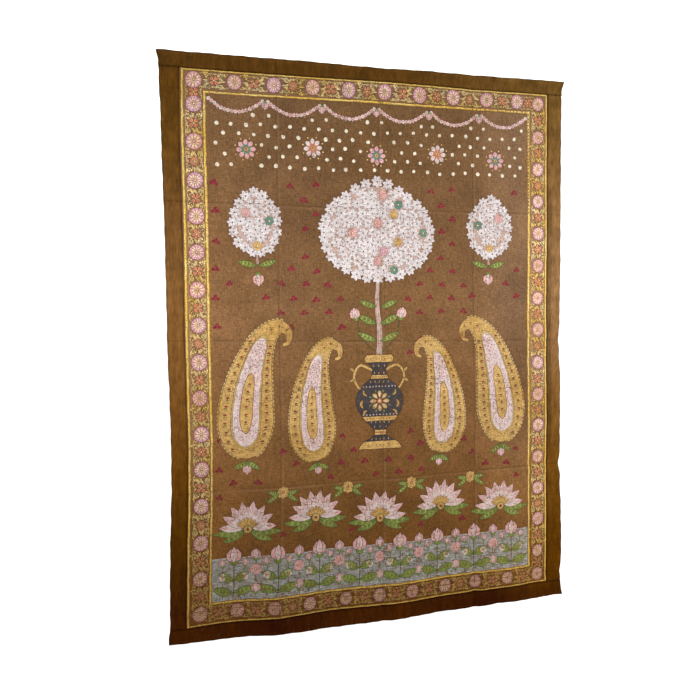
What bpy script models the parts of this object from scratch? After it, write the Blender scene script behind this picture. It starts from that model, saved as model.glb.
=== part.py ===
"""Pichwai painting: a painted cotton hanging framed by four sewn-on plain strips.

Metres, +Z up, the painted front faces -Y, the origin is the middle of the top edge.
Every point of the cloth has two flat measures, its distance ACROSS from the middle line and its
DROP below the top edge. hung_point() turns them into the place where the hung cloth holds it.
"""

import bmesh
import bpy
from bisect import bisect_right
from mathutils import Vector

MM = 0.001

# driving sizes of the cloth laid flat
CLOTH_WIDTH = 1.330
CLOTH_LENGTH = 1.765
SIDE_STRIP = 0.055
TOP_STRIP = 0.049
BOTTOM_STRIP = 0.052
PANEL_THICK = 1.2 * MM
STRIP_THICK = 2.0 * MM
STRIP_PROUD = 0.4 * MM
SEAM_GAP = 0.3 * MM

# steps of the mesh
PLAIN_STEP = 0.055
STRIP_STEPS = 2
CREASE_STATIONS = (-1.0, -0.45, 0.0, 0.45, 1.0)

HALF_WIDTH = CLOTH_WIDTH / 2
SEAM_ACROSS = HALF_WIDTH - SIDE_STRIP
TOP_SEAM = TOP_STRIP
BOTTOM_SEAM = CLOTH_LENGTH - BOTTOM_STRIP

# how far the sides stray outwards from straight, in millimetres
SIDE_COLUMNS = ("drop", "left_edge", "left_seam", "right_seam", "right_edge")
SIDE_ROWS = (
    (0.000, 9, -1, 3, 13),
    (0.035, 3, -1, 3, 0),
    (0.220, 0, -1, 2, 3),
    (0.580, -5, -3, 4, 3),
    (0.800, -6, -2, 4, 1),
    (0.872, -6, -2, 8, -2),
    (0.905, -7, -3, 6, 3),
    (1.140, -11, -5, 8, 5),
    (1.275, -10, -3, 6, 4),
    (1.303, -10, -3, 8, 0),
    (1.345, -8, -1, 6, 5),
    (1.490, -3, 4, 7, 8),
    (1.680, 5, 10, 8, 6),
    (1.765, 6, 11, 8, 13),
)

# how far the ends stray downwards from level, in millimetres
END_COLUMNS = ("across", "top_edge", "top_seam", "bottom_seam", "bottom_edge")
END_ROWS = (
    (-0.665, 2, 1, -2, -7),
    (-0.600, 2, 1, -1, -4),
    (-0.500, 1, 0, 1, 2),
    (-0.430, 1, 0, 2, 2),
    (-0.360, 2, 0, 4, 4),
    (-0.230, 2, 1, 1, 6),
    (-0.100, 3, 1, 2, 10),
    (0.010, 2, 0, 5, 7),
    (0.180, -1, 0, 3, 3),
    (0.335, 0, -1, -2, 3),
    (0.430, -1, -2, -6, -4),
    (0.560, -3, -3, -7, -1),
    (0.665, -4, -3, -7, -4),
)

# soft folds that run down the cloth: depth in millimetres, positive is away from the viewer
FOLD_COLUMNS = ("across", "reach", "depth_top", "depth_middle", "depth_bottom")
FOLD_ROWS = (
    (-0.640, 0.110, -2, -3, -7),
    (-0.480, 0.130, 1, 5, 10),
    (-0.300, 0.150, 0, -4, -10),
    (-0.120, 0.130, 1, 3, 5),
    (0.080, 0.150, -1, -4, -9),
    (0.240, 0.120, 0, 1, 3),
    (0.450, 0.140, -1, -5, -8),
    (0.600, 0.120, 0, 3, 6),
)

# storage creases: where each begins and ends, how far to each side it reaches, its depth at both ends
CREASE_COLUMNS = ("begin", "end", "reach", "depth_begin", "depth_end")
CREASES_DOWN = (
    (-0.322, -0.330, 0.026, -1, -3),
    (0.006, 0.012, 0.026, 1, 5),
    (0.332, 0.340, 0.032, 3, 8),
)
CREASES_ACROSS = (
    (0.436, 0.448, 0.024, -2, -1),
    (0.846, 0.874, 0.030, 3, 4),
    (1.306, 1.301, 0.030, 3, 4),
    (1.668, 1.681, 0.020, 1, 2),
)


def table(columns, rows):
    """The rows as dictionaries, one value for each column name."""
    return [dict(zip(columns, row)) for row in rows]


SIDES = table(SIDE_COLUMNS, SIDE_ROWS)
ENDS = table(END_COLUMNS, END_ROWS)
FOLDS = table(FOLD_COLUMNS, FOLD_ROWS)
DOWN = table(CREASE_COLUMNS, CREASES_DOWN)
ACROSS = table(CREASE_COLUMNS, CREASES_ACROSS)


def mix(first, second, share):
    return first + (second - first) * share


def ease(share):
    """0 to 1 with level ends."""
    share = min(max(share, 0.0), 1.0)
    return share * share * (3.0 - 2.0 * share)


def read_table(rows, key, column, place):
    """The column's value at a place along the key column, eased from row to row."""
    stations = [row[key] for row in rows]
    right = min(max(bisect_right(stations, place), 1), len(rows) - 1)
    before, after = rows[right - 1], rows[right]
    share = (place - before[key]) / (after[key] - before[key])
    return mix(before[column], after[column], ease(share))


def sideways(across, drop):
    """How far a point strays along X: seams and edges follow the side table."""
    left_seam = -read_table(SIDES, "drop", "left_seam", drop)
    right_seam = read_table(SIDES, "drop", "right_seam", drop)
    if across < -SEAM_ACROSS:
        left_edge = -read_table(SIDES, "drop", "left_edge", drop)
        return mix(left_seam, left_edge, (-across - SEAM_ACROSS) / SIDE_STRIP)
    if across > SEAM_ACROSS:
        right_edge = read_table(SIDES, "drop", "right_edge", drop)
        return mix(right_seam, right_edge, (across - SEAM_ACROSS) / SIDE_STRIP)
    return mix(left_seam, right_seam, (across + SEAM_ACROSS) / (2 * SEAM_ACROSS))


def downwards(across, drop):
    """How far a point strays down: the waves of the ends die out over the panel's last quarter."""
    top_seam = read_table(ENDS, "across", "top_seam", across)
    bottom_seam = read_table(ENDS, "across", "bottom_seam", across)
    if drop < TOP_SEAM:
        top_edge = read_table(ENDS, "across", "top_edge", across)
        return mix(top_seam, top_edge, (TOP_SEAM - drop) / TOP_STRIP)
    if drop > BOTTOM_SEAM:
        bottom_edge = read_table(ENDS, "across", "bottom_edge", across)
        return mix(bottom_seam, bottom_edge, (drop - BOTTOM_SEAM) / BOTTOM_STRIP)
    share = (drop - TOP_SEAM) / (BOTTOM_SEAM - TOP_SEAM)
    return mix(top_seam, bottom_seam, share ** 4)


def soft_folds(across, drop):
    """The sum of the long folds, each a smooth swell that grows down the cloth."""
    share = drop / CLOTH_LENGTH
    depth = 0.0
    for fold in FOLDS:
        nearness = ease(1.0 - abs(across - fold["across"]) / fold["reach"])
        if share < 0.5:
            height = mix(fold["depth_top"], fold["depth_middle"], ease(2 * share))
        else:
            height = mix(fold["depth_middle"], fold["depth_bottom"], ease(2 * share - 1))
        depth += height * nearness
    return depth


def crease_depth(crease, distance, share):
    """A narrow trough: sharp at its line and level where its reach ends."""
    nearness = max(0.0, 1.0 - abs(distance) / crease["reach"])
    return mix(crease["depth_begin"], crease["depth_end"], share) * nearness * nearness


def creases(across, drop):
    share_down = drop / CLOTH_LENGTH
    share_across = (across + HALF_WIDTH) / CLOTH_WIDTH
    depth = 0.0
    for crease in DOWN:
        line = mix(crease["begin"], crease["end"], share_down)
        depth += crease_depth(crease, across - line, share_down)
    for crease in ACROSS:
        line = mix(crease["begin"], crease["end"], share_across)
        depth += crease_depth(crease, drop - line, share_across)
    return depth


def hung_point(across, drop, proud=0.0):
    """Where the hung cloth holds a flat point; proud lifts it towards the viewer."""
    x = across + sideways(across, drop) * MM
    y = (soft_folds(across, drop) + creases(across, drop)) * MM - proud
    z = -drop - downwards(across, drop) * MM
    return Vector((x, y, z))


def fill(lines, target):
    """Adds evenly spaced lines from the last one up to the target."""
    start = lines[-1]
    span = (sum(target) - sum(start)) / 2
    steps = max(1, round(span / PLAIN_STEP))
    for step in range(1, steps + 1):
        share = step / steps
        lines.append((mix(start[0], target[0], share), mix(start[1], target[1], share)))


def mesh_lines(begin, end, crease_rows):
    """Mesh lines, each a place at one side and one at the other: close together at the creases."""
    lines = [(begin, begin)]
    for crease in crease_rows:
        marks = [station * crease["reach"] for station in CREASE_STATIONS]
        slanting = [(crease["begin"] + mark, crease["end"] + mark) for mark in marks]
        fill(lines, slanting[0])
        lines += slanting[1:]
    fill(lines, (end, end))
    return lines


def even_lines(begin, end, steps):
    """Evenly spaced lines that don't slant."""
    places = [mix(begin, end, step / steps) for step in range(steps + 1)]
    return [(place, place) for place in places]


def inset(lines, first, last):
    """Moves the outermost lines inwards to leave the seam's gap."""
    begin, end = lines[0], lines[-1]
    moved = [tuple(value + first for value in begin)] + list(lines[1:-1])
    return moved + [tuple(value - last for value in end)]


def make_sheet(name, columns, rows, thickness, proud, material, collection):
    """A grid laid on the hung cloth, then given its thickness behind the front face."""
    mesh = bpy.data.meshes.new(name)
    bm = bmesh.new()
    column_steps, row_steps = len(columns) - 1, len(rows) - 1
    bmesh.ops.create_grid(bm, x_segments=column_steps, y_segments=row_steps, size=1.0)
    for vert in bm.verts:
        column = round((vert.co.x + 1) / 2 * column_steps)
        row = round((1 - vert.co.y) / 2 * row_steps)
        top, bottom = columns[column]
        left, right = rows[row]
        share_down = (left + right) / 2 / CLOTH_LENGTH
        share_across = ((top + bottom) / 2 + HALF_WIDTH) / CLOTH_WIDTH
        across = mix(top, bottom, share_down)
        drop = mix(left, right, share_across)
        vert.co = hung_point(across, drop, proud)
    bm.to_mesh(mesh)
    bm.free()
    mesh.shade_smooth()
    sheet = bpy.data.objects.new(name, mesh)
    collection.objects.link(sheet)
    thicken = sheet.modifiers.new("cloth_thickness", "SOLIDIFY")
    thicken.thickness = thickness
    thicken.offset = -1.0
    sheet.data.materials.append(material)
    return sheet


def make_material(name, colour, roughness):
    material = bpy.data.materials.new(name)
    material.use_nodes = True
    shader = material.node_tree.nodes["Principled BSDF"]
    shader.inputs["Base Color"].default_value = (*colour, 1.0)
    shader.inputs["Roughness"].default_value = roughness
    shader.inputs["Metallic"].default_value = 0.0
    return material


def main():
    for item in list(bpy.data.objects):
        bpy.data.objects.remove(item, do_unlink=True)
    collection = bpy.data.collections.new("pichwai_painting")
    bpy.context.scene.collection.children.link(collection)

    painted_cotton = make_material("painted_cotton", (0.20, 0.11, 0.05), 0.85)
    strip_cloth = make_material("brown_strip_cloth", (0.12, 0.05, 0.012), 0.95)

    columns = mesh_lines(-SEAM_ACROSS, SEAM_ACROSS, DOWN)
    rows = mesh_lines(TOP_SEAM, BOTTOM_SEAM, ACROSS)
    left_columns = even_lines(-HALF_WIDTH, -SEAM_ACROSS, STRIP_STEPS)
    right_columns = even_lines(SEAM_ACROSS, HALF_WIDTH, STRIP_STEPS)
    full_columns = left_columns[:-1] + columns + right_columns[1:]
    top_rows = even_lines(0.0, TOP_SEAM, STRIP_STEPS)
    bottom_rows = even_lines(BOTTOM_SEAM, CLOTH_LENGTH, STRIP_STEPS)

    gap = SEAM_GAP / 2
    side_rows = inset(rows, gap, gap)
    pieces = (
        ("painted_panel", inset(columns, gap, gap), side_rows, PANEL_THICK, 0.0, painted_cotton),
        ("border_top", full_columns, inset(top_rows, 0.0, gap), STRIP_THICK, STRIP_PROUD, strip_cloth),
        ("border_bottom", full_columns, inset(bottom_rows, gap, 0.0), STRIP_THICK, STRIP_PROUD,
         strip_cloth),
        ("border_left", inset(left_columns, 0.0, gap), side_rows, STRIP_THICK, STRIP_PROUD, strip_cloth),
        ("border_right", inset(right_columns, gap, 0.0), side_rows, STRIP_THICK, STRIP_PROUD,
         strip_cloth),
    )
    for name, piece_columns, piece_rows, thickness, proud, material in pieces:
        make_sheet(name, piece_columns, piece_rows, thickness, proud, material, collection)


main()
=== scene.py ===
import math
import time

import bpy
import numpy as np
from mathutils import Matrix, Vector


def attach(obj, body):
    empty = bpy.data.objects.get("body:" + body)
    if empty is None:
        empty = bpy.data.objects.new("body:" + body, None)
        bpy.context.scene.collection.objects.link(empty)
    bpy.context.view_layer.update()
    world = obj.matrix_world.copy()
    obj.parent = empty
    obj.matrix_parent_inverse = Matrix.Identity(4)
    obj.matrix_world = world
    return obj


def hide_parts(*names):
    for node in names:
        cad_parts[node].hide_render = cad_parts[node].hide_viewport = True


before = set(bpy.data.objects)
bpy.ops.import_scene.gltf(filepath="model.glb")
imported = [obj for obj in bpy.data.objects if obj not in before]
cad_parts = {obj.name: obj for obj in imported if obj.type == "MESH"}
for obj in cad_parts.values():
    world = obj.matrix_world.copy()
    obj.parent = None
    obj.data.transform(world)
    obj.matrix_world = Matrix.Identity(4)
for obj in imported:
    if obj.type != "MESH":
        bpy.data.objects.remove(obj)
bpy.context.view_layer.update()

startTime = time.time()
mm = 0.001
rng = np.random.default_rng(11)


def say(stage):
    print(f"[pichwai] {stage}, {time.time() - startTime:.0f} s")


# The cloth laid flat: across is measured from the middle line, drop down from the top edge.
cloth = {
    "halfWidth": 0.665,
    "length": 1.765,
    "seamAcross": 0.610,    # where the side strips are sewn on
    "topSeam": 0.049,
    "bottomSeam": 1.713,
    "topBorder": 0.062,     # from the top seam to the inner yellow rule
    "creaseRound": 5 * mm,  # how softly a storage crease turns over
}
clothWidth = 2 * cloth["halfWidth"]
sideStrip = cloth["halfWidth"] - cloth["seamAcross"]
bottomStrip = cloth["length"] - cloth["bottomSeam"]


def table(columns, rows):
    values = np.array(rows, float)
    return {name: values[:, place] for place, name in enumerate(columns.split())}


# how far the sides stray outwards from straight, in millimetres
sides = table("drop leftEdge leftSeam rightSeam rightEdge", [
    (0.000, 11, -1, 4, 13),
    (0.035, 5, -1, 4, 4),
    (0.220, 1, 1, 4, 3),
    (0.580, -4, -2, 6, 3),
    (0.800, -5, -2, 5, 1),
    (0.872, -5, -2, 8, -2),
    (0.930, -6, -3, 5, -1),
    (0.990, -8, -3, 7, 4),
    (1.140, -10, -5, 9, 5),
    (1.275, -9, -3, 8, 4),
    (1.303, -9, -3, 10, 0),
    (1.345, -6, -1, 8, 5),
    (1.490, -1, 4, 10, 11),
    (1.600, 2, 7, 10, 13),
    (1.680, 3, 9, 10, 8),
    (1.715, 4, 10, 10, 9),
    (1.740, 8, 10, 10, 12),
    (1.765, 8, 11, 10, 17),
])

# how far the ends stray downwards from level, in millimetres
ends = table("across topEdge topSeam topRule bottomSeam bottomEdge", [
    (-0.665, 2.0, 1.0, 1, 0, -7),
    (-0.600, 2.0, 1.0, 1, 1, -4),
    (-0.500, 1.0, 0.0, 0, 3, 2),
    (-0.430, 1.0, 0.0, 0, 4, 2),
    (-0.360, 1.0, 0.0, 0, 5, 4),
    (-0.230, 0.0, -1.5, 1, 3, 6),
    (-0.100, 1.0, -3.0, 1, 5, 9),
    (0.010, 2.0, -4.5, 0, 6, 7),
    (0.180, -1.0, -4.5, 0, 3, 3),
    (0.335, -1.0, -2.5, -1, 0, 3),
    (0.430, -1.0, -3.0, -2, -3, -3),
    (0.560, -3.0, -4.5, -3, -4, 0),
    (0.665, -4.0, -4.0, -3, -3, -3),
])

# soft folds that run down the cloth: depth in millimetres, positive is away from the viewer
folds = (
    # across, reach, depth at the top, middle and bottom
    (-0.640, 0.110, -2, -3, -7),
    (-0.480, 0.130, 1, 5, 10),
    (-0.300, 0.150, 0, -4, -10),
    (-0.120, 0.130, 1, 3, 5),
    (0.080, 0.150, -1, -4, -9),
    (0.240, 0.120, 0, 1, 3),
    (0.450, 0.140, -1, -5, -8),
    (0.600, 0.120, 0, 3, 6),
)

# storage creases: where each begins and ends, its reach to each side, its depth at both ends
creasesDown = (
    (-0.322, -0.330, 0.026, -1, -3),
    (0.006, 0.012, 0.026, 1, 5),
    (0.332, 0.340, 0.032, 3, 8),
)
creasesAcross = (
    (0.436, 0.448, 0.024, -2, -1),
    (0.846, 0.874, 0.030, 3, 4),
    (1.306, 1.301, 0.030, 3, 4),
    (1.668, 1.681, 0.020, 1, 2),
)


def mix(first, second, share):
    return first + (second - first) * share


def ease(share):
    share = np.clip(share, 0.0, 1.0)
    return share * share * (3.0 - 2.0 * share)


# the named columns of a table, read at a place between its rows
def readTable(rows, key, columns, place):
    stations = rows[key]
    right = np.clip(np.searchsorted(stations, place, side="right"), 1, len(stations) - 1)
    share = ease((place - stations[right - 1]) / (stations[right] - stations[right - 1]))
    return [mix(rows[column][right - 1], rows[column][right], share) for column in columns.split()]


def sideways(across, drop):
    seamAt = cloth["seamAcross"]
    leftEdge, leftSeam, rightSeam, rightEdge = readTable(
        sides, "drop", "leftEdge leftSeam rightSeam rightEdge", drop)
    panel = mix(-leftSeam, rightSeam, (across + seamAt) / (2 * seamAt))
    left = -mix(leftSeam, leftEdge, (-across - seamAt) / sideStrip)
    right = mix(rightSeam, rightEdge, (across - seamAt) / sideStrip)
    return np.where(across < -seamAt, left, np.where(across > seamAt, right, panel))


def downwards(across, drop):
    top, bottom = cloth["topSeam"], cloth["bottomSeam"]
    topEdge, topSeam, topRule, bottomSeam, bottomEdge = readTable(
        ends, "across", "topEdge topSeam topRule bottomSeam bottomEdge", across)
    panel = mix(topSeam, topRule, ease((drop - top) / cloth["topBorder"]))
    # the bottom seam's stray is felt in the panel's lowest part alone
    panel = mix(panel, bottomSeam, np.clip((drop - top) / (bottom - top), 0, 1) ** 4)
    above = mix(topSeam, topEdge, (top - drop) / top)
    below = mix(bottomSeam, bottomEdge, (drop - bottom) / bottomStrip)
    return np.where(drop < top, above, np.where(drop > bottom, below, panel))


def softFolds(across, drop):
    share = drop / cloth["length"]
    depth = 0.0
    for centre, reach, top, middle, bottom in folds:
        upper = mix(top, middle, ease(2 * share))
        lower = mix(middle, bottom, ease(2 * share - 1))
        height = np.where(share < 0.5, upper, lower)
        depth = depth + height * ease(1 - np.abs(across - centre) / reach)
    return depth


def creaseDepth(crease, place, share):
    begin, end, reach, depthBegin, depthEnd = crease
    turn = cloth["creaseRound"]
    distance = np.hypot(place - mix(begin, end, share), turn) - turn
    nearness = np.maximum(0, 1 - distance / reach)
    return mix(depthBegin, depthEnd, share) * nearness * nearness


def acrossShare(across):
    return (across + cloth["halfWidth"]) / clothWidth


def creases(across, drop):
    down = sum(creaseDepth(crease, across, drop / cloth["length"]) for crease in creasesDown)
    return down + sum(creaseDepth(crease, drop, acrossShare(across)) for crease in creasesAcross)


# the fine unevenness of old cotton, as a few crossing waves
wrinkle = {
    "height": 0.30 * mm,
    "shortest": 0.030,
    "longest": 0.110,
    "waves": 9,
    "turn": 137.5,    # from one wave's heading to the next, in degrees
}


def wrinkles(across, drop):
    bent = across + 0.012 * np.sin(drop * 23) + 0.006 * np.sin(drop * 71 + 1)
    slid = drop + 0.014 * np.sin(across * 19) + 0.006 * np.sin(across * 63 + 2)
    height = 0.0
    for k in range(wrinkle["waves"]):
        length = mix(wrinkle["shortest"], wrinkle["longest"], k / (wrinkle["waves"] - 1))
        heading = math.radians(wrinkle["turn"] * k)
        walked = bent * math.cos(heading) + slid * math.sin(heading)
        height = height + np.sin(2 * math.pi * walked / length + 2.4 * k) * length
    return height * wrinkle["height"] / wrinkle["longest"]


# where the hung cloth holds a flat point; proud lifts it towards the viewer
def hang(across, drop, proud=0.0):
    across, drop = np.asarray(across, float), np.asarray(drop, float)
    x = across + sideways(across, drop) * mm
    y = (softFolds(across, drop) + creases(across, drop)) * mm + wrinkles(across, drop) - proud
    z = -drop - downwards(across, drop) * mm
    return np.stack([x, y, z], axis=-1)


seam = {
    "allowance": 10 * mm,
    "dipStart": 5 * mm,    # how far before the seam the cloth turns back
    "dipRun": 6 * mm,
    "sideDip": 1.9 * mm,   # the panel runs on behind the side strips
    "endDip": 2.2 * mm,    # and, with them, behind the top and bottom strips
}


def dipAt(past, depth):
    return ease((past + seam["dipStart"]) / seam["dipRun"]) * depth


def endDip(drop):
    past = np.maximum(cloth["topSeam"] - drop, drop - cloth["bottomSeam"])
    return dipAt(past, seam["endDip"])


def panelDip(across, drop):
    return dipAt(np.abs(across) - cloth["seamAcross"], seam["sideDip"]) + endDip(drop)


# meshes

collection = bpy.data.collections.new("pichwai")
bpy.context.scene.collection.children.link(collection)


# a flat map, from one place for each point of the mesh
def addMap(mesh, name, u, v):
    corners = np.empty(len(mesh.loops), np.int32)
    mesh.loops.foreach_get("vertex_index", corners)
    places = np.stack([u, v], axis=1)[corners].astype(np.float32)
    mesh.uv_layers.new(name=name).uv.foreach_set("vector", places.ravel())


def makePiece(name, points, faces, material, across, drop):
    mesh = bpy.data.meshes.new(name)
    mesh.from_pydata(points.tolist(), [], faces.tolist())
    mesh.shade_smooth()
    addMap(mesh, "flatCloth", acrossShare(across), 1 - drop / cloth["length"])
    mesh.materials.append(material)
    piece = bpy.data.objects.new(name, mesh)
    collection.objects.link(piece)
    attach(piece, "root")
    return piece


def gridFaces(rows, columns):
    corner = np.arange(rows - 1)[:, None] * columns + np.arange(columns - 1)[None, :]
    corner = corner.ravel()
    return np.stack([corner, corner + columns, corner + columns + 1, corner + 1], axis=1)


def thicken(piece, thickness, offset):
    modifier = piece.modifiers.new("clothThickness", "SOLIDIFY")
    modifier.thickness = thickness
    modifier.offset = offset


# materials

def addNode(tree, kind, settings=None, **inputs):
    node = tree.nodes.new(kind)
    for name, value in (settings or {}).items():
        setattr(node, name, value)
    for name, value in inputs.items():
        socket = node.inputs[int(name[1:])] if name[0] == "_" else node.inputs[name]
        if isinstance(value, bpy.types.NodeSocket):
            tree.links.new(value, socket)
        else:
            socket.default_value = value
    return node


def startMaterial(name):
    material = bpy.data.materials.new(name)
    material.use_nodes = True
    tree = material.node_tree
    return material, tree, tree.nodes["Principled BSDF"]


# the flat cloth's own coordinates in metres, stretched for streaks
def flatVector(tree, stretch=(1, 1)):
    source = addNode(tree, "ShaderNodeUVMap", {"uv_map": "flatCloth"})
    scale = (clothWidth * stretch[0], cloth["length"] * stretch[1], 1)
    return addNode(tree, "ShaderNodeMapping", Vector=source.outputs[0], Scale=scale).outputs[0]


def noise(tree, size, detail=3.0, roughness=0.55, stretch=(1, 1)):
    node = addNode(tree, "ShaderNodeTexNoise", Vector=flatVector(tree, stretch), Scale=1 / size,
                   Detail=detail, Roughness=roughness)
    return node.outputs["Fac"]


def remap(tree, value, low, high, toLow=0.0, toHigh=1.0, smooth=False):
    kind = {"interpolation_type": "SMOOTHSTEP" if smooth else "LINEAR"}
    node = addNode(tree, "ShaderNodeMapRange", kind, Value=value, _1=low, _2=high, _3=toLow,
                   _4=toHigh)
    return node.outputs[0]


def maths(tree, operation, first, second=0.0):
    node = addNode(tree, "ShaderNodeMath", {"operation": operation}, _0=first, _1=second)
    return node.outputs[0]


def plus(tree, first, second):
    return maths(tree, "ADD", first, second)


def minus(tree, first, second):
    return maths(tree, "SUBTRACT", first, second)


def times(tree, first, second):
    return maths(tree, "MULTIPLY", first, second)


# how far a value is from a place, to either side
def farFrom(tree, value, place):
    return maths(tree, "ABSOLUTE", minus(tree, value, place))


# noise drawn out along the upright and along the level threads
def threadNoise(tree, size, upright, level, detail=3.0, roughness=0.6, joined="ADD"):
    return maths(tree, joined, noise(tree, size, detail, roughness, (1, upright)),
                 noise(tree, size, detail, roughness, (level, 1)))


def blendColours(tree, factor, first, second, mode="MIX"):
    node = addNode(tree, "ShaderNodeMix", {"data_type": "RGBA", "blend_type": mode},
                   _0=factor, _6=first, _7=second)
    return node.outputs[2]


def rampColours(tree, value, stops):
    node = addNode(tree, "ShaderNodeValToRGB", Fac=value)
    elements = node.color_ramp.elements
    while len(elements) < len(stops):
        elements.new(0.5)
    for element, (place, colour) in zip(elements, stops):
        element.position = place
        element.color = (*colour, 1)
    return node.outputs[0]


def tintBy(tree, colour, tint):
    return blendColours(tree, 1.0, colour, tint, "MULTIPLY")


# brightens or darkens a colour by a value around one
def shadeBy(tree, colour, value):
    grey = addNode(tree, "ShaderNodeCombineColor", Red=value, Green=value, Blue=value)
    return tintBy(tree, colour, grey.outputs[0])


weave = {
    "pitch": 0.9 * mm,      # thread to thread
    "height": 0.12 * mm,
    "slubSize": 7 * mm,
    "slubHeight": 0.10 * mm,
    "grainSize": 3 * mm,
}
# the gaps' and the threads' shade, the relief's strength and the shine of each kind of cloth
finishes = {
    "cotton": {"threads": (0.68, 1.12), "relief": 0.6, "specular": 0.08, "roughness": (0.84, 0.96)},
    "paint": {"threads": (0.80, 1.07), "relief": 0.45, "specular": 0.12, "roughness": (0.72, 0.90)},
    "strip": {"threads": (0.68, 1.12), "relief": 0.6, "specular": 0.02, "roughness": (0.86, 0.98)},
}


# plain weave with uneven threads: nothing in the gaps between threads, one on top of them
def threads(tree):
    bands = []
    for direction in ("X", "Y"):
        wave = addNode(tree, "ShaderNodeTexWave", {"bands_direction": direction},
                       Vector=flatVector(tree), Scale=math.pi / 10 / weave["pitch"], Distortion=1.6,
                       _3=2.0, _4=3.0)
        bands.append(wave.outputs["Fac"])
    return maths(tree, "MAXIMUM", *bands)


# fine unevenness that follows the threads both ways, between two values
def threadGrain(tree, low, high):
    return remap(tree, threadNoise(tree, weave["grainSize"], 0.24, 0.24), 0.72, 1.28, low, high)


# joins colour and roughness to the shader, with the threads and their slubs as shade and relief
def weaveInto(tree, shader, finish, colour, roughness, nap=0.0):
    look = finishes[finish]
    thread = threads(tree)
    slubs = times(tree, noise(tree, weave["slubSize"], 4.0, 0.6, (1, 2.2)), weave["slubHeight"])
    height = plus(tree, plus(tree, times(tree, thread, weave["height"]), slubs), nap)
    bump = addNode(tree, "ShaderNodeBump", Strength=look["relief"], Distance=1.0, Height=height)
    colour = shadeBy(tree, colour, remap(tree, thread, 0.0, 1.0, *look["threads"]))
    tree.links.new(colour, shader.inputs["Base Color"])
    tree.links.new(roughness, shader.inputs["Roughness"])
    tree.links.new(bump.outputs[0], shader.inputs["Normal"])
    shader.inputs["Specular IOR Level"].default_value = look["specular"]


# flat cloth places in metres: from the left edge, and up from the bottom edge
def flatPlace(tree):
    parts = addNode(tree, "ShaderNodeSeparateXYZ", Vector=flatVector(tree))
    return parts.outputs[0], parts.outputs[1]


# how near a point is to a storage crease's line, from nothing to one
def nearCreases(tree, reach, shift=0.0):
    fromLeft, fromBottom = flatPlace(tree)
    across = minus(tree, fromLeft, cloth["halfWidth"] + shift)
    drop = minus(tree, cloth["length"] - shift, fromBottom)
    nearest = None
    for rows, place, along, begin, span in (
            (creasesDown, across, drop, 0.0, cloth["length"]),
            (creasesAcross, drop, across, -cloth["halfWidth"], clothWidth)):
        for first, last, *_ in rows:
            line = remap(tree, along, begin, begin + span, first, last)
            distance = farFrom(tree, place, line)
            nearest = distance if nearest is None else maths(tree, "MINIMUM", nearest, distance)
    return remap(tree, nearest, 0.0, reach, 1.0, 0.0, True)


# border layout: the two yellow rules and what stands between them
border = {
    "inner": (-0.5380, 0.5370, 0.1115, 1.6495),   # left, right, top, bottom of the inner rule
    # the rosettes' middles along each side; the first and last of a row stand in the corners
    "topRow": [-0.450, -0.331, -0.209, -0.092, 0.0265, 0.146, 0.262, 0.382, 0.4935],
    "bottomRow": [-0.456, -0.345, -0.231, -0.111, 0.000, 0.112, 0.229, 0.338, 0.4545],
    "leftRow": [0.081, 0.152, 0.262, 0.375, 0.479, 0.585, 0.696, 0.803, 0.912, 1.020, 1.128, 1.236,
                1.347, 1.460, 1.569, 1.677],
    "rightRow": [0.083, 0.190, 0.299, 0.406, 0.513, 0.621, 0.730, 0.837, 0.950, 1.058, 1.164,
                 1.273, 1.382, 1.490, 1.601, 1.681],
    "leftMiddle": -0.5700,
    "rightMiddle": 0.5745,
    "topMiddle": 0.0800,
    "bottomMiddle": 1.6790,
    # from the middle to the plants' edge, in millimetres
    "room": {"top": 21.0, "bottom": 22.0, "left": 24.5, "right": 24.5},
    # how large the rosettes are, at the top and at the foot
    "rosette": {
        "top": (1.08, 1.08),
        "bottom": (1.00, 1.00),
        "left": (1.15, 1.06),
        "right": (1.03, 1.02),
    },
}

# middle lines of the yellow rules, corner to corner: across, drop and width in millimetres
rules = [
    [(-603, 52, 5.5), (0, 52, 5.5), (605, 52, 6.0)],
    [(605, 52, 6.0), (605, 900, 7.0), (605, 1710, 6.5)],
    [(605, 1710, 6.0), (0, 1710, 6.5), (-605, 1710, 6.0)],
    [(-605, 1710, 6.5), (-605, 1250, 7.0), (-604, 850, 8.5), (-603, 450, 8.0), (-603, 52, 7.0)],
    [(-538, 115, 6.5), (-395, 115, 6.0), (-280, 113, 6.0), (-165, 111, 6.5), (-45, 110, 7.0),
     (80, 111, 7.0), (330, 111, 7.0), (537, 112, 7.0)],
    [(537, 112, 9.0), (538, 450, 8.5), (537, 900, 8.0), (538, 1649, 7.0)],
    [(538, 1649, 6.5), (0, 1649, 6.5), (-538, 1649, 6.0)],
    [(-538, 1649, 6.5), (-538, 1250, 7.0), (-538, 850, 8.5), (-538, 450, 8.5), (-538, 115, 7.5)],
]
# where the gold has gone: begin, end, pitch, each mark's length and width, its form and pigment
rubbedRules = [
    ((537, 118), (537, 440), 11, 8.5, 4.6, "leaf", "maroon"),
    ((330, 111.5), (530, 112), 15, 4.0, 6.0, "even", "goldShade"),
    ((-40, 52), (150, 52), 19, 3.0, 5.0, "even", "goldShade"),
]

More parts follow.
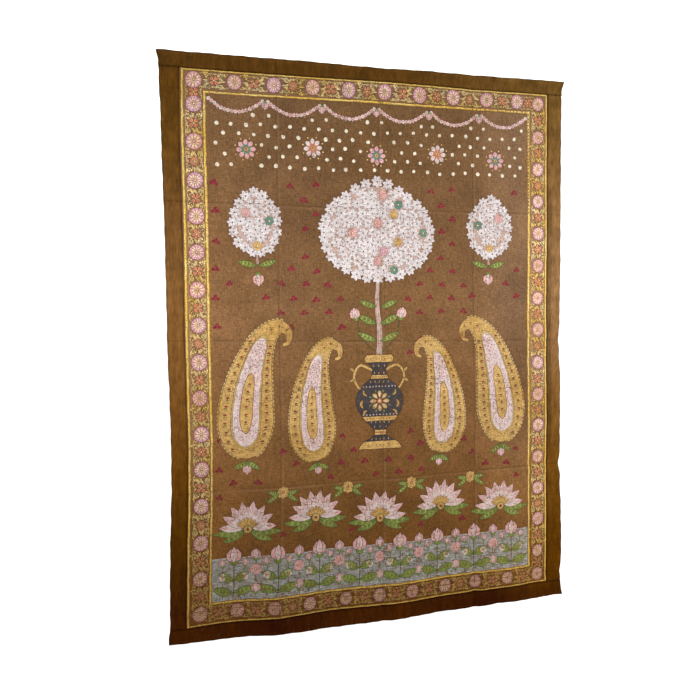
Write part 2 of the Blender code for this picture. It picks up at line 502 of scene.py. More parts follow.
ground = {
    "height": [    # share of the height from the bottom edge up, and the cotton's colour there with painted light: lightest a little above the middle, darker towards both ends
        (0.04, (0.092, 0.034, 0.0060)),
        (0.20, (0.127, 0.054, 0.0125)),
        (0.34, (0.183, 0.084, 0.0275)),
        (0.57, (0.222, 0.113, 0.0465)),
        (0.72, (0.177, 0.090, 0.0370)),
        (0.93, (0.141, 0.074, 0.0310)),
    ],
    "across": [    # share of the width from the left edge, and how much painted light lightens the cloth there, most on the right
        (0.07, (1.22, 1.22, 1.22)),
        (0.26, (0.91, 0.92, 0.97)),
        (0.50, (0.84, 0.84, 0.79)),
        (0.75, (0.94, 0.95, 0.98)),
        (0.84, (1.28, 1.38, 1.68)),
        (0.93, (1.34, 1.47, 1.82)),
    ],
    "border": (0.270, 0.150, 0.090),
    # painted light on the border's ground: lightest a little above the middle, darker towards both ends
    "borderHeight": [(0.02, (0.78, 0.66, 0.38)), (0.20, (0.96, 0.88, 0.70)),
                     (0.42, (1.10, 1.10, 1.08)), (0.60, (1.34, 1.34, 1.34)),
                     (0.78, (1.18, 1.18, 1.16)), (0.96, (0.80, 0.76, 0.66))],
    # darker along the inner rule on the right, at the middle of the height: places in metres
    "dusk": 0.36,
    "duskAcross": (1.02, 1.16),
    "duskEnd": (1.195, 1.205),
    "duskHeight": [(0.45, 0.70), (1.25, 1.05)],
    # painted light at the foot: darker on the left and lighter on the right
    "footAcross": (0.10, 1.25, -0.12, 0.30),
    "footHeight": (0.25, 0.75),
    # size, and how dark and how light it turns the cloth
    "clouds": (110 * mm, 0.86, 1.16),
    "streaks": (4 * mm, 0.76, 1.24),
    "grain": (0.62, 1.38),
    "stains": (160 * mm, 0.24),
    "stainAndCreaseShade": (0.085, 0.038, 0.013),
    "creaseHighlight": (0.300, 0.180, 0.090),
}


def shadeByHeight(tree, colour, stops):
    share = remap(tree, flatPlace(tree)[1], 0.0, cloth["length"])
    return tintBy(tree, colour, rampColours(tree, share, stops))


# painted light at the foot, as a value around one
def footLight(tree):
    fromLeft, fromBottom = flatPlace(tree)
    slant = remap(tree, fromLeft, *ground["footAcross"])
    lowness = remap(tree, fromBottom, *ground["footHeight"], 1.0, 0.0, True)
    return plus(tree, times(tree, slant, lowness), 1.0)


def groundColour(tree):
    fromLeft, fromBottom = flatPlace(tree)
    # painted light over the cotton's colour, by height and from side to side
    colour = shadeByHeight(tree, (1, 1, 1, 1), ground["height"])
    colour = tintBy(tree, colour, rampColours(tree, remap(tree, fromLeft, 0.0, clothWidth),
                                              ground["across"]))
    size, *shades = ground["clouds"]
    colour = shadeBy(tree, colour, remap(tree, noise(tree, size, 4.0, 0.6), 0.35, 0.65, *shades))
    colour = shadeBy(tree, colour, footLight(tree))
    dusk = times(tree, remap(tree, fromLeft, *ground["duskAcross"], 0.0, ground["dusk"], True),
                 remap(tree, fromLeft, *ground["duskEnd"], 1.0, 0.0))
    for begin, end in ground["duskHeight"]:
        dusk = times(tree, dusk, remap(tree, fromBottom, begin, end, smooth=True))
    colour = shadeBy(tree, colour, minus(tree, 1.0, dusk))
    size, strongest = ground["stains"]
    stains = remap(tree, noise(tree, size, 4.0, 0.6), 0.30, 0.75, strongest, 0.0)
    colour = blendColours(tree, stains, colour, (*ground["stainAndCreaseShade"], 1))
    size, *shades = ground["streaks"]
    colour = shadeBy(tree, colour, remap(tree, threadNoise(tree, size, 0.10, 0.20), 0.7, 1.3, *shades))
    return shadeBy(tree, colour, threadGrain(tree, *ground["grain"]))


# one between the inner rule and the cloth's edge, nothing in the field
def inBorder(tree):
    left, right, top, bottom = border["inner"]
    fromLeft, fromBottom = flatPlace(tree)
    soft = 3 * mm
    middle = cloth["halfWidth"] + (left + right) / 2
    centre = cloth["length"] - (top + bottom) / 2
    beside = remap(tree, farFrom(tree, fromLeft, middle), (right - left) / 2 - soft, (right - left) / 2)
    beyond = remap(tree, farFrom(tree, fromBottom, centre), (bottom - top) / 2 - soft, (bottom - top) / 2)
    return maths(tree, "MAXIMUM", beside, beyond)


# a painted highlight beside each storage crease and a painted shade along it: reach and shift of the
# line, how strong it is, and its colour
creaseLines = (
    (6 * mm, 6 * mm, 0.22, "creaseHighlight"),
    (5 * mm, 0.0, 0.55, "stainAndCreaseShade"),
)


def panelMaterial():
    material, tree, shader = startMaterial("brownCotton")
    colour = groundColour(tree)
    fromBottom = flatPlace(tree)[1]
    # the border's ground is rosier above its foot, and painted light makes it lighter at the middle of
    # its height
    rosy = remap(tree, fromBottom, 0.25 * cloth["length"], 0.50 * cloth["length"], 0.05, 0.50)
    litBorderGround = shadeByHeight(tree, blendColours(tree, rosy, colour, (*ground["border"], 1)),
                           ground["borderHeight"])
    colour = blendColours(tree, inBorder(tree), colour, litBorderGround)
    uneven = remap(tree, noise(tree, 40 * mm), 0.35, 0.65, 0.3, 1.0)
    # painted highlight and painted shade at the storage creases
    for reach, shift, strength, shade in creaseLines:
        line = times(tree, times(tree, nearCreases(tree, reach, shift), strength), uneven)
        colour = blendColours(tree, line, colour, (*ground[shade], 1))
    roughness = remap(tree, noise(tree, 12 * mm), 0.3, 0.7, *finishes["cotton"]["roughness"])
    weaveInto(tree, shader, "cotton", colour, roughness)
    return material


pigments = {
    # colour, the colour it drifts to, how worn, how uneven, how far it sinks in at the foot
    "gold": ((0.560, 0.365, 0.125), (0.470, 0.285, 0.085), 0.30, 0.20, 0.10),
    "goldRule": ((0.570, 0.390, 0.110), (0.560, 0.335, 0.055), 0.30, 0.22, 0.12),
    "lemon": ((0.760, 0.580, 0.165), (0.660, 0.430, 0.080), 0.18, 0.16, 0.12),
    "goldShade": ((0.330, 0.185, 0.060), (0.290, 0.145, 0.030), 0.35, 0.15, 0.30),
    "ivory": ((0.640, 0.540, 0.505), (0.600, 0.470, 0.435), 0.32, 0.16, 0.08),
    "pearl": ((0.610, 0.580, 0.580), (0.540, 0.490, 0.480), 0.26, 0.16, 0.05),
    "cream": ((0.770, 0.630, 0.400), (0.700, 0.500, 0.270), 0.22, 0.14, 0.34),
    "shell": ((0.760, 0.560, 0.380), (0.660, 0.420, 0.240), 0.22, 0.14, 0.38),
    "mauve": ((0.540, 0.290, 0.380), (0.560, 0.285, 0.265), 0.24, 0.20, 0.40),
    "rose": ((0.620, 0.340, 0.345), (0.580, 0.310, 0.290), 0.25, 0.14, 0.10),
    "blush": ((0.470, 0.350, 0.310), (0.420, 0.290, 0.235), 0.30, 0.16, 0.10),
    "plum": ((0.200, 0.075, 0.095), (0.160, 0.055, 0.050), 0.28, 0.10, 0.30),
    "coral": ((0.540, 0.185, 0.115), (0.500, 0.165, 0.080), 0.28, 0.24, 0.42),
    "amber": ((0.660, 0.400, 0.190), (0.580, 0.310, 0.110), 0.26, 0.12, 0.35),
    "crimson": ((0.175, 0.011, 0.026), (0.150, 0.010, 0.019), 0.18, 0.24, 0.00),
    "maroon": ((0.075, 0.027, 0.018), (0.058, 0.020, 0.010), 0.26, 0.10, 0.30),
    "navy": ((0.022, 0.025, 0.034), (0.036, 0.038, 0.044), 0.18, 0.26, 0.00),
    "slate": ((0.240, 0.275, 0.275), (0.262, 0.278, 0.252), 0.42, 0.24, 0.00),
    "mist": ((0.400, 0.430, 0.420), (0.430, 0.420, 0.380), 0.30, 0.18, 0.00),
    "teal": ((0.070, 0.200, 0.170), (0.110, 0.210, 0.150), 0.25, 0.15, 0.10),
    "leaf": ((0.150, 0.225, 0.050), (0.140, 0.200, 0.042), 0.26, 0.32, 0.00),
    "moss": ((0.042, 0.068, 0.022), (0.048, 0.062, 0.020), 0.26, 0.15, 0.10),
    "sage": ((0.340, 0.300, 0.165), (0.290, 0.215, 0.065), 0.28, 0.18, 0.44),
    "olive": ((0.520, 0.380, 0.180), (0.400, 0.250, 0.055), 0.24, 0.24, 0.44),
    "straw": ((0.720, 0.550, 0.270), (0.550, 0.355, 0.085), 0.20, 0.20, 0.44),
    "chalk": ((0.700, 0.640, 0.500), (0.640, 0.560, 0.420), 0.24, 0.14, 0.00),
}
paintLook = {
    # share of the height from the bottom edge up, and how light the paint is there with painted light
    "height": [(place, (light,) * 3) for place, light in (
        (0.00, 0.72), (0.12, 0.74), (0.22, 0.80), (0.40, 1.02), (0.60, 1.28), (0.78, 1.15),
        (0.96, 0.88))],
    "right": (1.14, 1.22, 1.0, 1.17),    # painted light: brighter in the border on the right
    "grain": (0.76, 1.24),
    "driftSize": 130 * mm,
    "patchSizes": (26 * mm, 4 * mm),
    "crackSize": 6 * mm,
    "cracks": (0.47, 0.36),              # where cracks begin, and where they are open
    "creaseWear": (0.15, 0.65),
    "mostWorn": 0.9,
    "sunkHeight": (0.06, 0.42),
    "sunkAcross": (0.75, 1.25, 1.0, 0.9),
}


# how much of the brown shows through the paint: cracks, worn creases, and paint sunk in at the foot
def paintWear(tree, worn, sinks):
    fromLeft, fromBottom = flatPlace(tree)
    cracks = threadNoise(tree, paintLook["crackSize"], 0.35, 0.35, 4.0, 0.65, "MINIMUM")
    wear = times(tree, remap(tree, cracks, *paintLook["cracks"]), 2.2 * worn)
    wear = times(tree, wear, remap(tree, noise(tree, 60 * mm), 0.35, 0.65, 0.4, 1.3))
    creaseWear = times(tree, nearCreases(tree, 3 * mm),
                       remap(tree, noise(tree, 25 * mm), 0.35, 0.65, *paintLook["creaseWear"]))
    wear = plus(tree, maths(tree, "MAXIMUM", wear, creaseWear), worn * 0.35)
    sunk = times(tree, remap(tree, fromBottom, *paintLook["sunkHeight"], sinks, 0.0, True),
                 remap(tree, fromLeft, *paintLook["sunkAcross"]))
    return maths(tree, "MINIMUM", plus(tree, wear, sunk), paintLook["mostWorn"])


def paintMaterial(pigment):
    colour, drift, worn, uneven, sinks = pigments[pigment]
    material, tree, shader = startMaterial(pigment + "Paint")
    fromLeft, fromBottom = flatPlace(tree)
    # every colour drifts in patches, and most towards the bottom
    drifting = maths(tree, "MAXIMUM",
                     remap(tree, noise(tree, paintLook["driftSize"], 2.0, 0.5), 0.38, 0.62),
                     remap(tree, fromBottom, 0.10, 0.80, 1.0, 0.0))
    body = blendColours(tree, drifting, (*colour, 1), (*drift, 1))
    patches = plus(tree, *[noise(tree, size, 3.0, 0.6) for size in paintLook["patchSizes"]])
    body = shadeBy(tree, body, remap(tree, patches, 0.75, 1.25, 1 - uneven, 1 + uneven))
    # painted light: lightest a little above the middle, darker towards both ends
    body = shadeByHeight(tree, body, paintLook["height"])
    # painted light at the foot and on the right
    body = shadeBy(tree, body, footLight(tree))
    body = shadeBy(tree, body, remap(tree, fromLeft, *paintLook["right"]))
    body = shadeBy(tree, body, threadGrain(tree, *paintLook["grain"]))
    body = blendColours(tree, paintWear(tree, worn, sinks), body, groundColour(tree))
    roughness = remap(tree, patches, 0.7, 1.3, *finishes["paint"]["roughness"])
    weaveInto(tree, shader, "paint", body, roughness)
    return material


strips = {
    "leaf": 0.5 * mm,       # the strip cloth's own thickness
    "leafGap": 1.5 * mm,    # between the middles of its two leaves
    "front": -0.15 * mm,    # the front leaf's middle, just proud of the panel
    "hem": 18 * mm,
    "step": 8 * mm,         # between the mesh lines along it
    # share of the height from the bottom edge up, and the colour there, on each side, with painted light:
    # lightest at the middle of the height and on the right
    "left": [
        (0.015, (0.040, 0.0096, 0.0005)),
        (0.06, (0.036, 0.0088, 0.0005)),
        (0.20, (0.062, 0.0225, 0.0010)),
        (0.30, (0.100, 0.0370, 0.0032)),
        (0.40, (0.146, 0.0600, 0.0110)),
        (0.60, (0.188, 0.0860, 0.0245)),
        (0.72, (0.134, 0.0610, 0.0160)),
        (0.84, (0.098, 0.0420, 0.0068)),
        (0.94, (0.082, 0.0350, 0.0045)),
        (0.985, (0.065, 0.0275, 0.0044)),
    ],
    "right": [
        (0.012, (0.052, 0.0145, 0.0005)),
        (0.045, (0.084, 0.0280, 0.0006)),
        (0.12, (0.084, 0.0290, 0.0010)),
        (0.28, (0.136, 0.0550, 0.0060)),
        (0.40, (0.184, 0.0840, 0.0200)),
        (0.50, (0.240, 0.1210, 0.0440)),
        (0.66, (0.256, 0.1340, 0.0530)),
        (0.76, (0.218, 0.1110, 0.0390)),
        (0.84, (0.158, 0.0790, 0.0235)),
        (0.94, (0.124, 0.0640, 0.0150)),
        (0.985, (0.100, 0.0490, 0.0105)),
    ],
    # share of the width along the foot, and how dark a patch lies there
    "patches": [(0.02, 0.10), (0.14, 0.30), (0.23, 0.75), (0.34, 0.50), (0.43, 0.00), (0.56, 0.00),
                (0.68, 0.45), (0.80, 0.75), (0.92, 0.00)],
    "patch": (0.0170, 0.0022, 0.0005),
    "pale": (0.300, 0.190, 0.080),
    "streakHeight": 0.12 * mm,
    # uneven dye: size, detail, roughness, upright stretch, and how much darker and lighter
    "streaks": (3 * mm, 3.0, 0.6, 0.12, 0.30),
    "bands": (16 * mm, 2.0, 0.5, 0.25, 0.20),
    "clouds": (60 * mm, 4.0, 0.6, 1, 0.22),
    # painted shade beside the seam and at the outer edge: share of the strip's width out from the seam at
    # two places, and their shades
    "edges": [(0.0, 0.17, 0.50, 1.0), (0.92, 0.985, 1.0, 0.72)],
}


def stripMaterial():
    material, tree, shader = startMaterial("brownStripCloth")
    fromLeft, fromBottom = flatPlace(tree)
    # painted light: the strips lighter at the middle of the height and towards the right
    share = remap(tree, fromBottom, 0.0, cloth["length"])
    toRight = remap(tree, fromLeft, clothWidth / 2, clothWidth, smooth=True)
    colour = blendColours(tree, toRight, rampColours(tree, share, strips["left"]),
                          rampColours(tree, share, strips["right"]))
    own = addNode(tree, "ShaderNodeUVMap", {"uv_map": "stripReach"})
    reach = addNode(tree, "ShaderNodeSeparateXYZ", Vector=own.outputs[0]).outputs[1]
    # the dye took unevenly: thin upright streaks, broader bands and cloudy patches
    unevenness = {}
    for name in ("streaks", "bands", "clouds"):
        size, detail, roughness, upright, spread = strips[name]
        unevenness[name] = noise(tree, size, detail, roughness, (1, upright))
        colour = shadeBy(tree, colour, remap(tree, unevenness[name], 0.3, 0.7, 1 - spread, 1 + spread))
    # along the foot lie large dark patches
    stops = [(place, (dark,) * 3) for place, dark in strips["patches"]]
    dark = rampColours(tree, remap(tree, fromLeft, 0.0, clothWidth), stops)
    dark = times(tree, dark, remap(tree, unevenness["clouds"], 0.35, 0.65, 0.6, 1.2))
    dark = times(tree, dark, remap(tree, fromBottom, 0.05, 0.09, 1.0, 0.0, True))
    colour = blendColours(tree, dark, colour, (*strips["patch"], 1))
    # on the right, at the middle of the height, a broad band of painted shade follows the seam
    broad = remap(tree, reach, 0.28, 0.42, 0.34, 0.0, True)
    where = times(tree, remap(tree, fromLeft, clothWidth - 0.10, clothWidth - 0.08),
                  remap(tree, share, 0.24, 0.34))
    where = times(tree, where, remap(tree, share, 0.74, 0.84, 1.0, 0.0))
    colour = shadeBy(tree, colour, minus(tree, 1.0, times(tree, broad, where)))
    # painted shade beside the seam and along the outer edge, with the hem's faint lighter line between
    # them
    for span in strips["edges"]:
        colour = shadeBy(tree, colour, remap(tree, reach, *span, True))
    colour = shadeBy(tree, colour, remap(tree, farFrom(tree, reach, 0.80), 0.0, 0.022, 1.22, 1.0, True))
    # painted shade along the storage creases
    colour = shadeBy(tree, colour, remap(tree, nearCreases(tree, 4 * mm), 0.0, 1.0, 1.0, 0.80))
    stains = remap(tree, noise(tree, 12 * mm, 5.0, 0.65), 0.60, 0.82, 0.0, 0.22)
    colour = blendColours(tree, stains, colour, (*strips["pale"], 1))
    roughness = remap(tree, noise(tree, 10 * mm), 0.3, 0.7, *finishes["strip"]["roughness"])
    nap = times(tree, unevenness["streaks"], strips["streakHeight"])
    weaveInto(tree, shader, "strip", colour, roughness, nap)
    return material


# the painted panel

creaseStations = np.array([-1, -0.62, -0.36, -0.18, 0, 0.18, 0.36, 0.62, 1])
panelLook = {"step": 10 * mm, "thickness": 0.6 * mm}


# mesh lines, each a place at one side and one at the other, close together at the creases
def meshLines(begin, end, creaseRows, step):
    lines = [(begin, begin)]
    targets = []
    for first, last, reach, *_ in creaseRows:
        targets.append([(first + mark * reach, last + mark * reach) for mark in creaseStations])
    targets.append([(end, end)])
    for group in targets:
        start, target = lines[-1], group[0]
        steps = max(1, round((sum(target) - sum(start)) / 2 / step))
        for share in np.arange(1, steps + 1) / steps:
            lines.append((mix(start[0], target[0], share), mix(start[1], target[1], share)))
        lines += group[1:]
    return np.array(lines)


# swaps the straight lines near both ends for a given few
def withTurns(lines, begin, end):
    first, last = begin.max() + 3 * mm, end.min() - 3 * mm
    inner = lines[(lines.min(axis=1) > first) & (lines.max(axis=1) < last)]
    outer = [[place, place] for place in (lines[0, 0], *begin)]
    return np.array(outer + inner.tolist() + [[place, place] for place in (*end, lines[-1, 0])])


def makePanel(material):
    wide = cloth["seamAcross"] + seam["allowance"]
    top = cloth["topSeam"] - seam["allowance"]
    bottom = cloth["bottomSeam"] + seam["allowance"]
    columns = meshLines(-wide, wide, creasesDown, panelLook["step"])
    rows = meshLines(top, bottom, creasesAcross, panelLook["step"])
    # the seam turns back in small steps
    turns = np.array([-6, -4.5, -3, -1.5, 0, 1.5]) * mm
    columns = withTurns(columns, -cloth["seamAcross"] - turns[::-1], cloth["seamAcross"] + turns)
    rows = withTurns(rows, cloth["topSeam"] - turns[::-1], cloth["bottomSeam"] + turns)
    shareDown = (rows.mean(axis=1) / cloth["length"])[:, None]
    shareAcross = acrossShare(columns.mean(axis=1))[None, :]
    across = mix(columns[None, :, 0], columns[None, :, 1], shareDown).ravel()
    drop = mix(rows[:, None, 0], rows[:, None, 1], shareAcross).ravel()
    faces = gridFaces(len(rows), len(columns))
    # the seam allowances leave each other's corners free
    clear = 2 * mm
    middle, height = across[faces].mean(axis=1), drop[faces].mean(axis=1)
    beside = np.abs(middle) > cloth["seamAcross"] + clear
    beyond = (height < cloth["topSeam"] - clear) | (height > cloth["bottomSeam"] + clear)
    used, faces = np.unique(faces[~(beside & beyond)], return_inverse=True)
    across, drop = across[used], drop[used]
    points = hang(across, drop, -panelDip(across, drop))
    panel = makePiece("painted_cotton", points, faces.reshape(-1, 4), material,
                      across, drop)
    thicken(panel, panelLook["thickness"], -1.0)
    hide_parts("painted_panel")
    return panel


# the four strips, each one cloth folded under at its seam and hemmed at its outer edge

def stripProfile(width):
    radius = strips["leafGap"] / 2
    nearFold = 0.3 * mm + strips["leaf"] / 2 + radius
    farFold = width - strips["leaf"] / 2 - radius
    back = strips["front"] + strips["leafGap"]
    middle = strips["front"] + radius
    turn = np.linspace(0, math.pi, 7)
    reach, depth = [], []
    reach += list(np.linspace(seam["allowance"], nearFold, 4)[:-1])
    depth += [back] * 3
    reach += list(nearFold - radius * np.sin(turn))
    depth += list(middle + radius * np.cos(turn))
    flat = np.linspace(nearFold, farFold, 12)[1:-1]
    reach += list(flat)
    depth += list(strips["front"] - 0.25 * mm * ease((flat - (width - strips["hem"])) / (3 * mm)))
    reach += list(farFold + radius * np.sin(turn))
    depth += list(middle - radius * np.cos(turn))
    reach += list(np.linspace(farFold, width - strips["hem"], 4)[1:])
    depth += [back] * 3
    return np.array(reach), np.array(depth)


# each strip's seam line, which way it runs out from there, its width, and where its wobble starts
stripSides = {
    "left": (-cloth["seamAcross"], -1, sideStrip, 1.0),
    "right": (cloth["seamAcross"], 1, sideStrip, 2.0),
    "top": (cloth["topSeam"], -1, cloth["topSeam"], 3.0),
    "bottom": (cloth["bottomSeam"], 1, bottomStrip, 4.0),
}


def makeStrip(name, side, material):
    seamAt, way, width, start = stripSides[side]
    upright = side in ("left", "right")
    reach, depth = stripProfile(width)
    if upright:
        begin, end = cloth["topSeam"] - seam["allowance"], cloth["bottomSeam"] + seam["allowance"]
        crossed = creasesAcross
    else:
        begin, end = -cloth["halfWidth"], cloth["halfWidth"]
        crossed = creasesDown
    along = meshLines(begin, end, crossed, strips["step"]).mean(axis=1)
    wobble = 0.5 * mm * np.sin(along * 61 + start) + 0.4 * mm * np.sin(along * 143 + 2 * start)
    outward = reach[None, :] + wobble[:, None] * ease(reach / width)[None, :]
    lengthwise = np.broadcast_to(along[:, None], outward.shape).ravel()
    behind = np.broadcast_to(depth[None, :], outward.shape).ravel()
    sideward = seamAt + way * outward.ravel()
    across, drop = (sideward, lengthwise) if upright else (lengthwise, sideward)
    if upright:
        behind = behind + endDip(drop)
    points = hang(across, drop, -behind)
    strip = makePiece(name, points, gridFaces(len(along), len(reach)), material,
                      across, drop)
    addMap(strip.data, "stripReach", lengthwise + start, outward.ravel() / width)
    thicken(strip, strips["leaf"], 0.0)
    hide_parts("border_" + side)
    return strip


# painting: every stroke is a line with a width, in millimetres, x to the right and y down

forms = {
    "even": lambda share: np.ones_like(share),
    "leaf": lambda share: np.sin(math.pi * share) ** 0.85,
    "petal": lambda share: np.sin(math.pi * share ** 1.5) ** 0.7,
    "drop": lambda share: np.sin(math.pi * (1 - share) ** 1.5) ** 0.7,
    "round": lambda share: 2 * np.sqrt(share * (1 - share)),
    "taper": lambda share: 1 - 0.85 * share,
}
brush = {
    "longestStep": 5.0,        # between a stroke's points
    "thinnest": 0.3,
    "firstLift": 0.35 * mm,    # how far the lowest paint stands off the cloth
    "levelLift": 0.16 * mm,    # and each further layer
}


def formOf(form):
    return forms[form] if isinstance(form, str) else form


# how far along a line each of its points lies
def walkedAlong(points):
    return np.concatenate([[0], np.cumsum(np.linalg.norm(np.diff(points, axis=0), axis=1))])


# places along a smooth line through the points, at shares of its length
def through(points, shares):
    points = np.array(points, float)
    ends = np.vstack([2 * points[0] - points[1], points, 2 * points[-1] - points[-2]])
    step = np.linspace(0, 1, 12, endpoint=False)[:, None]
    runs = []
    for a, b, c, d in zip(ends, ends[1:], ends[2:], ends[3:]):
        bend = (2 * a - 5 * b + 4 * c - d) * step ** 2 + (3 * b - a - 3 * c + d) * step ** 3
        runs.append(0.5 * (2 * b + (c - a) * step + bend))
    dense = np.vstack(runs + [points[-1:]])
    walked = walkedAlong(dense)
    at = np.asarray(shares) * walked[-1]
    return np.stack([np.interp(at, walked, dense[:, k]) for k in (0, 1)], axis=1)


# the way across a line, and the way along it, at each of its points
def normals(spine):
    way = np.gradient(spine, axis=0)
    way /= np.maximum(np.linalg.norm(way, axis=1, keepdims=True), 1e-9)
    return np.stack([-way[:, 1], way[:, 0]], axis=1), way


def stroke(pigment, points, width, form="even", level=1, edge=0.0, steps=5):
    points = np.array(points, float)
    count = max(steps, math.ceil(walkedAlong(points)[-1] / brush["longestStep"]))
    shares = np.linspace(0, 1, count + 1)
    # a shaped stroke has its points closer together at both ends
    if form != "even" and count < 40:
        shares = mix(shares, 0.5 - 0.5 * np.cos(math.pi * shares), 0.8)
    spine = through(points, shares)
    widths = width * formOf(form)(np.clip(shares, 0, 1)) + 2 * edge
    if edge:
        way = normals(spine)[1]
        spine[0] -= way[0] * edge
        spine[-1] += way[-1] * edge
        widths[[0, -1]] -= edge
    return pigment, spine, np.maximum(widths, brush["thinnest"]), level


# a stroke with a darker outline under it
def edged(pigment, points, width, form="leaf", level=1, edge=1.0, line="maroon", steps=5):
    return [stroke(line, points, width, form, level, edge, steps),
            stroke(pigment, points, width, form, level + 1, 0.0, steps)]


def disc(pigment, radius, level=1, x=0.0, y=0.0):
    return stroke(pigment, [(x - radius, y), (x + radius, y)], 2 * radius, "round", level, steps=6)


def ray(angle, near, far):
    way = np.array([math.sin(angle), -math.cos(angle)])
    return [way * near, way * far]


# strokes set at another place, turned in degrees, scaled, mirrored or raised by some levels
def moved(strokes, x=0.0, y=0.0, turn=0.0, size=1.0, flip=False, raised=0):
    angle = math.radians(turn)
    spin = np.array([[math.cos(angle), math.sin(angle)], [-math.sin(angle), math.cos(angle)]])
    mirror = np.array([-1.0 if flip else 1.0, 1.0])
    placed = []
    for pigment, spine, widths, level in strokes:
        spot = (spine * mirror * size) @ spin + (x, y)
        placed.append((pigment, spot, widths * size, level + raised))
    return placed


# the same strokes once for each of some turns
def around(strokes, turns, x=0.0, y=0.0, raised=0):
    return [placed for turn in turns for placed in moved(strokes, x, y, turn, raised=raised)]


painting = []


def paint(strokes, across, drop, turn=0.0, size=1.0, flip=False, raised=0):
    painting.extend(moved(strokes, across / mm, drop / mm, turn, size, flip, raised))


# A hand never draws quite straight: the whole painting shares this small waver.
def waver(flat):
    x, y = flat[:, 0], flat[:, 1]
    shiftX = 0.45 * np.sin(y / 9 + 0.6 * np.sin(x / 17)) + 0.22 * np.sin(y / 2.9 + x / 5)
    shiftY = 0.45 * np.sin(x / 8 + 0.6 * np.sin(y / 15)) + 0.22 * np.sin(x / 3.1 + y / 6)
    return flat + np.stack([shiftX, shiftY], axis=1)


def strokeMesh(spine, widths):
    columns = max(1, math.ceil(widths.max() / brush["longestStep"]))
    side = normals(spine)[0]
    places = np.linspace(-0.5, 0.5, columns + 1)
    flat = spine[:, None, :] + side[:, None, :] * widths[:, None, None] * places[None, :, None]
    faces = gridFaces(len(spine), columns + 1)
    flat = flat.reshape(-1, 2)
    a, b, d = flat[faces[:, 0]], flat[faces[:, 1]], flat[faces[:, 3]]
    turn = ((b - a)[:, 0] * (d - a)[:, 1] - (b - a)[:, 1] * (d - a)[:, 0]).sum()
    return flat, faces if turn < 0 else faces[:, ::-1]


paints = {}    # one material for each pigment


# joins the strokes of one pigment into two pieces, above and below the middle of the cloth
def layPaint():
    bins = {}
    split = cloth["length"] / 2 / mm
    for pigment, spine, widths, level in painting:
        half = "upper" if spine[:, 1].mean() < split else "lower"
        flat, faces = strokeMesh(spine, widths)
        bins.setdefault((pigment, half), []).append((flat, faces, level))
    pieces = []
    for (pigment, half), parts in sorted(bins.items()):
        starts = np.cumsum([0] + [len(flat) for flat, _, _ in parts])
        flat = waver(np.vstack([flat for flat, _, _ in parts])) * mm
        faces = np.vstack([quads + start for (_, quads, _), start in zip(parts, starts)])
        levels = np.concatenate([np.full(len(flat), level) for flat, _, level in parts])
        across, drop = flat[:, 0], flat[:, 1]
        lift = brush["firstLift"] + brush["levelLift"] * levels
        points = hang(across, drop, lift - panelDip(across, drop))
        if pigment not in paints:
            paints[pigment] = paintMaterial(pigment)
        name = f"{pigment}_paint_{half}"
        pieces.append(makePiece(name, points, faces, paints[pigment], across, drop))
        print(f"  {name}: {len(faces)} faces")
    return pieces


# the border's flowers and leaves between the yellow rules

ruleLook = {
    "outline": 1.6,
    # a brighter stretch inside, and a darker edge: shift and breadth as shares of the width
    "shades": (("lemon", -0.14, 0.42), ("goldShade", 0.40, 0.14)),
    "clear": 6,          # from a corner to the first fleck
    "fleckPitch": 7.0,
    "barClear": 20,
    "barPitch": 38.0,
}


def ruleStrokes(course):
    points, widths = np.array(course, float)[:, :2], np.array(course, float)[:, 2]
    ways = [points[1] - points[0], points[-1] - points[-2]]
    lap = [way / np.linalg.norm(way) * widths.mean() / 2 for way in ways]
    line = np.vstack([points[0] - lap[0], points[1:-1], points[-1] + lap[1]])
    walked = walkedAlong(line)
    length, shares = walked[-1], walked / walked[-1]

    def width(share):
        return np.interp(share, shares, widths)

    def along(share):
        return np.interp(share, shares, line[:, 0]), np.interp(share, shares, line[:, 1])

    side = np.array([-ways[0][1], ways[0][0]]) / np.linalg.norm(ways[0])
    strokes = [stroke("maroon", line, 1, lambda share: width(share) + ruleLook["outline"], 1),
               stroke("goldRule", line, 1, width, 2)]
    for pigment, shift, breadth in ruleLook["shades"]:
        beside = [point + side * shift * width(share) for point, share in zip(line, shares)]
        strokes.append(stroke(pigment, beside, breadth, width, 3))
    # where the gold is rubbed: short flecks along the rule and a few bars across it
    for place in np.arange(ruleLook["clear"], length - ruleLook["clear"], ruleLook["fleckPitch"]):
        share = (place + rng.uniform(-2.5, 2.5)) / length
        reach = rng.uniform(1.5, 4.0) / length
        shift = side * width(share) * rng.uniform(-0.34, 0.40)
        fleck = [along(share - reach) + shift, along(share + reach) + shift]
        strokes.append(stroke("goldShade", fleck, rng.uniform(0.7, 1.8), "leaf", 4, steps=3))
    for place in np.arange(ruleLook["barClear"], length - ruleLook["barClear"], ruleLook["barPitch"]):
        share = (place + rng.uniform(-14, 14)) / length
        bar = side * width(share) * rng.uniform(0.3, 0.5)
        ends = [along(share) - bar, along(share) + bar]
        strokes.append(stroke("goldShade", ends, rng.uniform(0.5, 1.0), level=4, steps=2))
    return strokes


def drawRules():
    for course in rules:
        painting.extend(ruleStrokes(course))
    # high on the right and in parts of the top rules, marks show where the gold has gone
    for begin, end, pitch, length, width, form, pigment in rubbedRules:
        way = np.subtract(end, begin) / math.dist(begin, end)
        for place in np.arange(0, math.dist(begin, end), pitch):
            start = begin + way * (place + rng.uniform(-0.2, 0.2) * pitch)
            gap = [start, start + way * length * rng.uniform(0.8, 1.15)]
            painting.append(stroke(pigment, gap, width, form, 5, steps=3))


rosetteLook = {
    "radius": 20.6,
    "outline": 0.8,
    "rayStart": 4.4,
    "rayReach": (14.6, 16.4),
    "rayGirth": 49,         # the widths of all the rays together
    "parting": (6.0, 20.5),
    "eye": (("rose", 5.4), ("plum", 4.2), ("straw", 2.5)),
    # how many rays, and their pigment, from one rosette to the next
    "kinds": ((11, "cream"), (12, "shell"), (10, "cream"), (13, "cream")),
}


